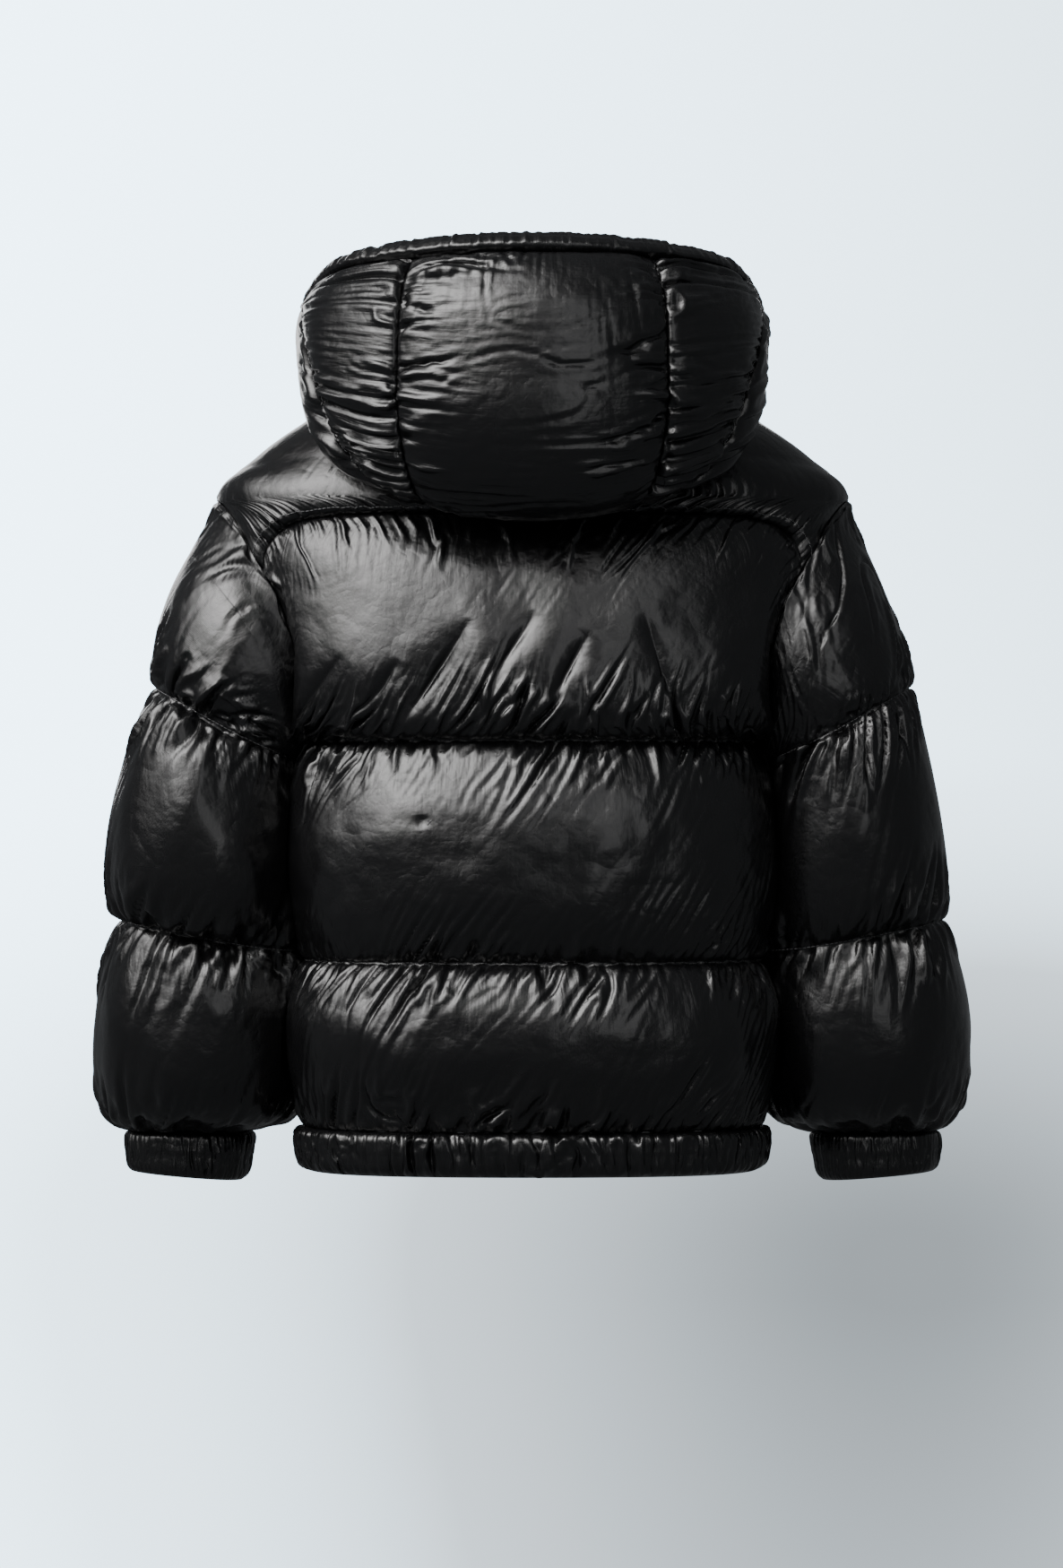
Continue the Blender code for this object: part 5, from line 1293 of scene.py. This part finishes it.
def make_hood():
    """The hood's centre panel, and a side panel and a wing on each side."""
    hood_panel("hood_centre_cloth", "hood_centre", lambda s: centre_seam(s) + HOOD_GAP,
               lambda s: 2 * np.pi - centre_seam(s) - HOOD_GAP, HOOD_CENTRE_GRID, HOOD_CENTRE_SEED,
               gathered=(1, 1), fold_station=HOOD_FOLD_STATION)
    for name, seed in HOOD_SIDE_SEEDS.items():
        mirror = name == "right"
        hood_panel("hood_side_cloth_" + name, "hood_side_" + name, lambda s: wing_seam(s) + HOOD_GAP,
                   lambda s: centre_seam(s) - HOOD_GAP, HOOD_SIDE_GRID, seed, mirror,
                   gathered=(0.5, 1), sewn_column=2)
        hood_panel("hood_wing_cloth_" + name, "hood_wing_" + name, hood_edge,
                   lambda s: wing_seam(s) - HOOD_GAP, HOOD_WING_GRID, seed + WING_SEED_STEP,
                   mirror, gathered=(0, 0.4), seam_shares=(0.0, HOOD_SEAM_SHARE))


# ---------------------------------------------------------------- zip
def zip_line():
    """The zip's path on the inside of the wall, from the hem up to the brim, and the way out."""
    levels = np.concatenate([np.linspace(HEM_BOTTOM, LOW_QUILT, 60)[:-1],
                             np.linspace(LOW_QUILT, HIGH_QUILT, 60)[:-1],
                             np.linspace(HIGH_QUILT, NECK_SEAM, 100)])
    body = body_surface(levels, np.zeros_like(levels))
    path = np.concatenate([body, hood_surface(np.linspace(0.1, 1.0, 50), np.zeros(50))])
    path[:, 0] = 0
    way = unit(np.gradient(path, axis=0))
    return path, np.stack([0 * way[:, 0], -way[:, 2], way[:, 1]], 1)


def make_tapes():
    """The two woven tapes, drawn in under the fronts a little."""
    path, out = zip_line()
    for name, sign in (("left", 1), ("right", -1)):
        across = np.linspace(TAPE_EDGE, ZIP_HALF_WIDTH + TAPE_HIDDEN, TAPE_COLUMNS) * sign
        inside = (path + out * TAPE_LIFT)[:, None] + across[None, :, None] * ACROSS
        panel = Panel(inside, np.broadcast_to(out[:, None], inside.shape),
                      np.full(inside.shape[:2], TAPE_WALL), np.ones(inside.shape[:2], bool))
        piece = padded_wall("zip_tape_cloth_" + name, panel.goal(), coarser_inner(panel, 2, 6),
                            panel, "woven_zip_tape")
        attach(piece, "jacket")
        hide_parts("zip_tape_" + name)


def make_teeth():
    """Two rows of teeth that mesh over the slit; the slider's post stands in the gap between them."""
    path, out = zip_line()
    slider = hood_surface(np.array([SLIDER_STATION]), np.zeros(1))[0]
    for name, sign, start in (("left", 1, 0.5), ("right", -1, 1.0)):
        places, _, outward = along_line(path, out, TOOTH_PITCH, start)
        clear = np.abs(places[:, 2] - slider[2]) > SLIDER_CLEAR
        clear &= places[:, 2] > HEM_BOTTOM + ZIP_BOX[1]
        places = places + outward * (TAPE_LIFT + TAPE_WALL + TOOTH_HEIGHT * TOOTH_LIFT)
        places[:, 0] += sign * (TOOTH_REACH / 2 - SLIT_HALF_WIDTH)
        across = np.broadcast_to(ACROSS, places.shape)
        model = block_model(TOOTH_REACH, TOOTH_WIDTH, TOOTH_HEIGHT)
        teeth = repeated(model, "zip_teeth_" + name, places[clear], across[clear], outward[clear],
                         "blackened_metal")
    low = path[:1] + out[:1] * (TAPE_LIFT + TAPE_WALL + ZIP_BOX_LIFT * ZIP_BOX[2])
    low = low + np.array([0.0, 0.0, ZIP_BOX_RAISE * ZIP_BOX[1]])
    box = repeated(block_model(*ZIP_BOX), "zip_box", low, ACROSS[None], out[:1],
                   "blackened_metal")


# ---------------------------------------------------------------- materials
class Wire:
    """A shader value that can be used in Python expressions; each operator adds a Math node."""

    def __init__(self, tree, socket):
        self.tree, self.socket = tree, socket

    def math(self, operation, *values, swap=False):
        """A Math node on this value and others; swap puts this one last."""
        node = self.tree.nodes.new("ShaderNodeMath")
        node.operation = operation
        values = (self,) + values
        if swap:
            values = values[::-1]
        for slot, value in zip(node.inputs, values):
            if isinstance(value, Wire):
                self.tree.links.new(value.socket, slot)
            else:
                slot.default_value = value
        return Wire(self.tree, node.outputs[0])

    def __add__(self, other):
        return self.math("ADD", other)

    def __sub__(self, other):
        return self.math("SUBTRACT", other)

    def __mul__(self, other):
        return self.math("MULTIPLY", other)

    def __rsub__(self, other):
        return self.math("SUBTRACT", other, swap=True)

    __radd__, __rmul__ = __add__, __mul__

    def __pow__(self, other):
        return self.math("POWER", other)

    def limited(self):
        """The value held between 0 and 1."""
        held = self.math("ADD", 0.0)
        held.socket.node.use_clamp = True
        return held


class Shader:
    """One material's node tree: node(type, settings, inputs) adds a node and returns it."""

    def __init__(self, name):
        self.material = bpy.data.materials.new(name)
        self.material.use_nodes = True
        self.tree = self.material.node_tree
        self.principled = self.tree.nodes["Principled BSDF"]

    def node(self, kind, settings=None, inputs=None):
        node = self.tree.nodes.new(kind)
        for key, value in (settings or {}).items():
            if key == "stops":
                for place, _ in value[2:]:
                    node.color_ramp.elements.new(place)
                for stop, (place, colour) in zip(node.color_ramp.elements, value):
                    stop.position, stop.color = place, colour
            else:
                setattr(node, key, value)
        for key, value in (inputs or {}).items():
            self.put(node.inputs[key], value)
        return node

    def put(self, socket, value):
        """Gives an input its value, or links it to the value's node."""
        if isinstance(value, Wire):
            self.tree.links.new(value.socket, socket)
        elif isinstance(value, bpy.types.NodeSocket):
            self.tree.links.new(value, socket)
        else:
            socket.default_value = value

    def wire(self, node, output=0):
        """One of a node's outputs, for use in expressions."""
        return Wire(self.tree, node.outputs[output])

    def set(self, **values):
        """Sets the principled shader's inputs, named with _ for a space; returns the material."""
        for key, value in values.items():
            self.put(self.principled.inputs[key.replace("_", " ")], value)
        return self.material


def mixed(shader, share, first, second):
    """One colour shading into another as the share goes from 0 to 1."""
    node = shader.node("ShaderNodeMix", {"data_type": "RGBA"},
                       {0: share, 6: (*first, 1), 7: (*second, 1)})
    return node.outputs[2]


def bumped(shader, height):
    """The normal that a height in metres gives."""
    node = shader.node("ShaderNodeBump", {}, {"Height": height, "Strength": 1.0, "Distance": 1.0})
    return node.outputs[0]


def glowing(shader, colour, strength):
    """The material as a plain light of a colour and strength, in place of the principled shader."""
    glow = shader.node("ShaderNodeEmission", {}, {"Color": colour, "Strength": strength})
    shader.tree.links.new(glow.outputs[0], shader.tree.nodes["Material Output"].inputs["Surface"])
    shader.tree.nodes.remove(shader.principled)
    return shader.material


def nylon(name):
    """Glossy coated nylon: fine plain weave, slight crinkle, sharper puckers beside the seams."""
    cloth = bpy.context.scene.jacket_cloth
    s = Shader(name)
    weave = s.wire(s.node("ShaderNodeUVMap", {"uv_map": "weave"}))
    place = s.wire(s.node("ShaderNodeTexCoord"), "Object")
    upright = s.wire(s.node("ShaderNodeAttribute", {"attribute_name": "level_pucker"}), "Fac")
    sideways = s.wire(s.node("ShaderNodeAttribute", {"attribute_name": "side_pucker"}), "Fac")
    threads = [s.wire(s.node("ShaderNodeTexWave", {"wave_type": "BANDS", "bands_direction": way,
                                                   "wave_profile": "SIN"},
                             {"Vector": weave.socket, "Scale": math.pi / 10 / cloth.weave_pitch,
                              "Distortion": 0.6, "Detail": 1.0, "Detail Scale": 0.4}), "Fac")
               for way in ("X", "Y")]

    def noise(scale, detail, vector=place, stretch=None):
        """Smooth noise round 0; stretch says how much finer it is across and up the cloth."""
        if stretch:
            scaled = s.node("ShaderNodeVectorMath", {"operation": "MULTIPLY"},
                            {0: vector, 1: stretch + (1.0,)})
            vector = Wire(s.tree, scaled.outputs[0])
        return s.wire(s.node("ShaderNodeTexNoise", {}, {"Vector": vector, "Scale": scale,
                                                        "Detail": detail, "Roughness": 0.5})) - 0.5

    crumpled = (noise(24.0, 2.0).math("ABSOLUTE") * 0.0030
                + noise(62.0, 3.0).math("ABSOLUTE") * 0.0012)
    gathers = (noise(150.0, 2.0, weave, (1.0, 0.16)).math("ABSOLUTE") * upright
               + noise(150.0, 2.0, weave, (0.16, 1.0)).math("ABSOLUTE") * sideways) * 0.0012
    broad = noise(9.0, 3.0)
    height = ((threads[0] + threads[1]) * (cloth.weave_depth / 2) + crumpled + gathers
              + noise(260.0, 3.0) * 0.00008)
    darker, lighter = ([share * c for c in cloth.colour] for share in (0.75, 1.2))
    return s.set(Base_Color=mixed(s, broad + 0.5, darker, lighter),
                 Roughness=broad * 0.12 + cloth.roughness, Normal=bumped(s, height),
                 Coat_Weight=cloth.coat, Coat_Roughness=0.10, Specular_IOR_Level=0.5)


def grey_thread(name):
    """Twisted sewing thread, painted matt grey in place of the glints on glossy black thread."""
    s = Shader(name)
    place = s.node("ShaderNodeTexCoord").outputs["Object"]
    twist = s.wire(s.node("ShaderNodeTexNoise", {}, {"Vector": place, "Scale": 2200.0}))
    # painted highlight: the greys stand in for glints on black thread
    return s.set(Base_Color=mixed(s, twist, (0.05, 0.05, 0.052), (0.17, 0.17, 0.175)),
                 Roughness=0.62, Normal=bumped(s, twist * 0.0001))


def woven_zip_tape(name):
    """Black herringbone zip tape: ribs that lean one way and then the other across it."""
    s = Shader(name)
    weave = s.wire(s.node("ShaderNodeUVMap", {"uv_map": "weave"}))
    parts = s.node("ShaderNodeSeparateXYZ", {}, {0: weave})
    across, up = s.wire(parts, 0), s.wire(parts, 1)
    zigzag = (across * (1 / 0.0044)).math("PINGPONG", 1.0) * 0.0022
    ribs = ((up + zigzag) * (2 * math.pi / 0.0011)).math("SINE")
    fuzz = s.wire(s.node("ShaderNodeTexNoise", {}, {"Vector": weave, "Scale": 1500.0}))
    return s.set(Base_Color=mixed(s, fuzz, (0.006, 0.006, 0.007), (0.018, 0.018, 0.020)),
                 Roughness=0.72, Normal=bumped(s, ribs * 0.00009 + fuzz * 0.00004))


def blackened_metal(name):
    """Blackened metal with faint wear."""
    s = Shader(name)
    place = s.node("ShaderNodeTexCoord").outputs["Object"]
    grain = s.node("ShaderNodeTexNoise", {}, {"Vector": place, "Scale": 420.0, "Detail": 4.0})
    wear = s.wire(grain)
    return s.set(Base_Color=mixed(s, wear, (0.030, 0.030, 0.032), (0.075, 0.074, 0.072)),
                 Metallic=0.95, Roughness=wear * 0.16 + 0.26, Normal=bumped(s, wear * 0.00003))


MAKERS = {"glossy_black_nylon": nylon, "grey_thread": grey_thread,
          "woven_zip_tape": woven_zip_tape, "blackened_metal": blackened_metal}


def material(name):
    """The material of that name, made the first time it is asked for."""
    return bpy.data.materials.get(name) or MAKERS[name](name)


# ---------------------------------------------------------------- what a user may change
class JacketCloth(bpy.types.PropertyGroup):
    """The look of the nylon."""

    colour: bpy.props.FloatVectorProperty(
        name="Nylon", description="Colour of the nylon", subtype="COLOR", size=3,
        default=(0.0040, 0.0040, 0.0044), min=0, max=1)
    roughness: bpy.props.FloatProperty(
        name="Roughness", description="How far the nylon spreads its highlights", default=0.27,
        min=0, max=1, subtype="FACTOR")
    coat: bpy.props.FloatProperty(
        name="Coating", description="Strength of the nylon's shiny coating", default=0.35,
        min=0, max=1, subtype="FACTOR")
    weave_pitch: bpy.props.FloatProperty(
        name="Weave pitch", description="Distance between two threads of the weave",
        default=0.0008, unit="LENGTH")
    weave_depth: bpy.props.FloatProperty(
        name="Weave depth", description="How far the threads of the weave stand out",
        default=0.000035, unit="LENGTH")


class JacketStage(bpy.types.PropertyGroup):
    """The camera and the strengths of the lights."""

    camera_distance: bpy.props.FloatProperty(
        name="Camera distance", description="From the middle of the jacket to the camera",
        default=CAMERA_DISTANCE, unit="LENGTH")
    view_height: bpy.props.FloatProperty(
        name="View height", description="What the picture shows from top to bottom at the jacket",
        default=PICTURE_ROWS * PIXEL, unit="LENGTH")
    view_middle: bpy.props.FloatProperty(
        name="View middle", description="Level of the middle of the picture",
        default=(NECK_ROW - PICTURE_ROWS / 2) * PIXEL, unit="LENGTH")
    soft_strength: bpy.props.FloatProperty(
        name="Soft light", description="Strength of the large light high on the left", default=13)
    front_power: bpy.props.FloatProperty(
        name="Front light", description="Power of the light before the jacket's front, in watts",
        default=22)
    fill_power: bpy.props.FloatProperty(
        name="Fill light", description="Power of the dim light on the right, in watts", default=8)


# ---------------------------------------------------------------- operators
class Piece:
    """What every operator here shares."""

    bl_options = {"REGISTER", "UNDO"}


class JACKET_OT_back(Piece, bpy.types.Operator):
    """Makes the back with its three quilted channels"""
    bl_idname, bl_label = "jacket.back", "Back"

    def execute(self, context):
        make_back()
        return {"FINISHED"}


class JACKET_OT_yoke(Piece, bpy.types.Operator):
    """Makes the back yoke under the hood"""
    bl_idname, bl_label = "jacket.yoke", "Back yoke"

    def execute(self, context):
        make_back_yoke()
        return {"FINISHED"}


class JACKET_OT_fronts(Piece, bpy.types.Operator):
    """Makes the two fronts and their yokes"""
    bl_idname, bl_label = "jacket.fronts", "Fronts"

    def execute(self, context):
        for name, sign in (("left", 1), ("right", -1)):
            make_front(name, sign)
        return {"FINISHED"}


class JACKET_OT_sleeves(Piece, bpy.types.Operator):
    """Makes the two quilted sleeves and their gathered cuffs"""
    bl_idname, bl_label = "jacket.sleeves", "Sleeves and cuffs"

    def execute(self, context):
        for name, mirror in (("left", False), ("right", True)):
            make_sleeve(name, mirror)
            make_cuff(name, mirror)
        return {"FINISHED"}


class JACKET_OT_hem(Piece, bpy.types.Operator):
    """Makes the elastic hem band"""
    bl_idname, bl_label = "jacket.hem", "Hem band"

    def execute(self, context):
        make_hem_band()
        return {"FINISHED"}


class JACKET_OT_hood(Piece, bpy.types.Operator):
    """Makes the hood's panels and its elastic brim"""
    bl_idname, bl_label = "jacket.hood", "Hood"

    def execute(self, context):
        make_hood()
        make_brim()
        return {"FINISHED"}


class JACKET_OT_zip(Piece, bpy.types.Operator):
    """Makes the zip's tapes and teeth, and finishes its slider and pull tab"""
    bl_idname, bl_label = "jacket.zip", "Zip"

    def execute(self, context):
        make_tapes()
        make_teeth()
        for node in ("zip_slider", "zip_pull"):
            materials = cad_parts[node].data.materials
            materials.clear()
            materials.append(material("blackened_metal"))
        return {"FINISHED"}


class JACKET_OT_stage(Piece, bpy.types.Operator):
    """Sets up the pale studio, its soft lights and the camera"""
    bl_idname, bl_label = "jacket.stage", "Stage"

    def execute(self, context):
        make_stage(context.scene.jacket_stage)
        return {"FINISHED"}


def pale_studio(name):
    """A pale surround with painted light and shade: painted brightest, cool white, high on the left,
    it falls to grey low on the right, where a soft shadow is painted.

    It is painted by the direction in which the camera's place sees it, so it has no edges there.
    """
    s = Shader(name)
    place = s.node("ShaderNodeTexCoord").outputs["Object"]
    eye = (0, CAMERA_DISTANCE, VIEW_MIDDLE)
    seen = s.node("ShaderNodeVectorMath", {"operation": "SUBTRACT"}, {0: place, 1: eye})
    toward = s.node("ShaderNodeVectorMath", {"operation": "NORMALIZE"}, {0: seen.outputs[0]})
    parts = s.node("ShaderNodeSeparateXYZ", {}, {0: toward.outputs[0]})
    left, up = s.wire(parts, 0) * (1 / HALF_VIEW_ACROSS), s.wire(parts, 2) * (1 / HALF_VIEW_UP)
    behind = (s.wire(parts, 1) * -5 - 3.5).limited()
    low = (0.077 - up * 1.54).limited()
    low = low * low * (3 - low * 2) - (-0.65 - up).limited() * 0.5
    shade = ((left + 0.65) * (1 / 0.95)) ** 2
    # painted shadow: a soft dark patch low on the right, over a lower part painted darker
    painted_shadow = ((shade * -1).math("EXPONENT") * 56 + 8) * low
    # painted light: the surround grows brighter towards the left, where the light stands
    bright = ((left * 6 - painted_shadow) * behind + 67.5) * (1 / 74)
    ramp = s.node("ShaderNodeValToRGB", {"stops": ((0.0, (0.058, 0.065, 0.070, 1)),
                                                   (0.5, (0.156, 0.179, 0.196, 1)),
                                                   (0.824, (0.346, 0.437, 0.502, 1)),
                                                   (1.0, (0.610, 0.824, 0.995, 1)))}, {0: bright})
    return glowing(s, ramp.outputs[0], STUDIO_STRENGTH)


def soft_light(name, strength):
    """A large soft light that is brightest in its middle and fades out towards its edges."""
    s = Shader(name)
    place = s.node("ShaderNodeTexCoord").outputs["Object"]
    parts = s.node("ShaderNodeSeparateXYZ", {}, {0: place})
    across, up = s.wire(parts, 0), s.wire(parts, 1)
    core = (((across * (1 / 0.95)) ** 2 + (up * (1 / 0.85)) ** 2) * -1).math("EXPONENT")
    wide = (((across * (1 / 2.00)) ** 2 + (up * (1 / 1.40)) ** 2) * -1).math("EXPONENT")
    low = (((across * (1 / 1.60)) ** 2 + ((up + 1.65) * (1 / 0.90)) ** 2) * -1).math("EXPONENT")
    share = core * 0.45 + wide * 0.55 + low * 0.13
    return glowing(s, mixed(s, share, (0, 0, 0), (1.0, 0.99, 0.98)), strength)


def aimed(thing, place, aim):
    """Puts a new light at a place, facing its aim."""
    thing.location = place
    thing.rotation_euler = (Vector(aim) - Vector(place)).to_track_quat("-Z", "Y").to_euler()
    bpy.context.scene.collection.objects.link(thing)


def make_studio():
    """A round floor that curves up into a dome, seen by the camera alone."""
    radius = FLOOR_REACH + COVE_RADIUS
    profile = [(0.001, FLOOR), (FLOOR_REACH / 2, FLOOR), (FLOOR_REACH, FLOOR)]
    profile += [(FLOOR_REACH + COVE_RADIUS * math.sin(t), FLOOR + COVE_RADIUS * (1 - math.cos(t)))
                for t in np.linspace(0.1, math.pi / 2, 12)]
    profile += [(radius * math.cos(t), DOME_START + DOME_HEIGHT * math.sin(t))
                for t in np.linspace(0.2, 1.56, 10)]
    around = [2 * math.pi * i / STUDIO_COLUMNS for i in range(STUDIO_COLUMNS)]
    points = [(r * math.cos(a), r * math.sin(a), z) for r, z in profile for a in around]
    quads = grid_quads(0, len(profile), STUDIO_COLUMNS, True)[:, ::-1]
    mesh = bpy.data.meshes.new("studio")
    mesh.from_pydata(points, [], quads.tolist())
    mesh.shade_smooth()
    mesh.materials.append(pale_studio("pale_studio"))
    studio = linked("studio", mesh)
    studio.visible_glossy = studio.visible_diffuse = studio.visible_shadow = False


def make_lights(stage):
    """A dim room, one large soft sheet high up, and two lamps."""
    world = bpy.data.worlds.new("dim_room")
    world.use_nodes = True
    world.node_tree.nodes["Background"].inputs["Color"].default_value = ROOM_COLOUR
    bpy.context.scene.world = world
    x, y = SHEET_HALF_SIZE
    mesh = bpy.data.meshes.new("soft_light")
    mesh.from_pydata([(-x, -y, 0), (x, -y, 0), (x, y, 0), (-x, y, 0)], [], [(0, 3, 2, 1)])
    mesh.materials.append(soft_light("soft_light", stage.soft_strength))
    sheet = bpy.data.objects.new("soft_light", mesh)
    aimed(sheet, SHEET_PLACE, SHEET_AIM)
    sheet.visible_camera = False
    powers = {"fill": stage.fill_power, "front": stage.front_power}
    for name, (place, width, height) in LAMPS.items():
        data = bpy.data.lights.new(name, "AREA")
        data.shape = "RECTANGLE"
        data.size, data.size_y, data.energy = width, height, powers[name]
        lamp = bpy.data.objects.new(name, data)
        lamp.visible_camera = False
        aimed(lamp, place, LAMP_AIM)


def make_camera(stage):
    """The camera behind the jacket, level with the middle of the picture."""
    camera = bpy.data.cameras.new("camera")
    camera.sensor_fit, camera.sensor_height = "VERTICAL", SENSOR
    camera.lens = SENSOR * stage.camera_distance / stage.view_height
    camera.clip_end = 60
    viewer = linked("camera", camera)
    viewer.location = CAMERA_X, stage.camera_distance, stage.view_middle
    viewer.rotation_euler = math.pi / 2, 0, math.pi
    bpy.context.scene.camera = viewer


def make_stage(stage):
    """Everything round the jacket."""
    make_studio()
    make_lights(stage)
    make_camera(stage)


class JACKET_PT_panel(bpy.types.Panel):
    """Lists what may be changed, and a button for each piece"""
    bl_label, bl_idname = "Puffer jacket", "JACKET_PT_panel"
    bl_space_type, bl_region_type, bl_category = "VIEW_3D", "UI", "Jacket"

    def draw(self, context):
        for group in (context.scene.jacket_cloth, context.scene.jacket_stage):
            for name in group.__annotations__:
                self.layout.prop(group, name)
        for operator in OPERATORS:
            self.layout.operator(operator.bl_idname)


OPERATORS = (JACKET_OT_back, JACKET_OT_yoke, JACKET_OT_fronts, JACKET_OT_sleeves, JACKET_OT_hem,
             JACKET_OT_hood, JACKET_OT_zip, JACKET_OT_stage)
GROUPS = (JacketCloth, JacketStage)


def register():
    for thing in GROUPS + OPERATORS + (JACKET_PT_panel,):
        bpy.utils.register_class(thing)
    bpy.types.Scene.jacket_cloth = bpy.props.PointerProperty(type=JacketCloth)
    bpy.types.Scene.jacket_stage = bpy.props.PointerProperty(type=JacketStage)


def unregister():
    del bpy.types.Scene.jacket_cloth
    del bpy.types.Scene.jacket_stage
    for thing in reversed(GROUPS + OPERATORS + (JACKET_PT_panel,)):
        bpy.utils.unregister_class(thing)


def main():
    """Makes the whole jacket and its stage."""
    register()
    for operator in OPERATORS:
        getattr(bpy.ops.jacket, operator.bl_idname.split(".")[1])()


if __name__ == "__main__":
    main()
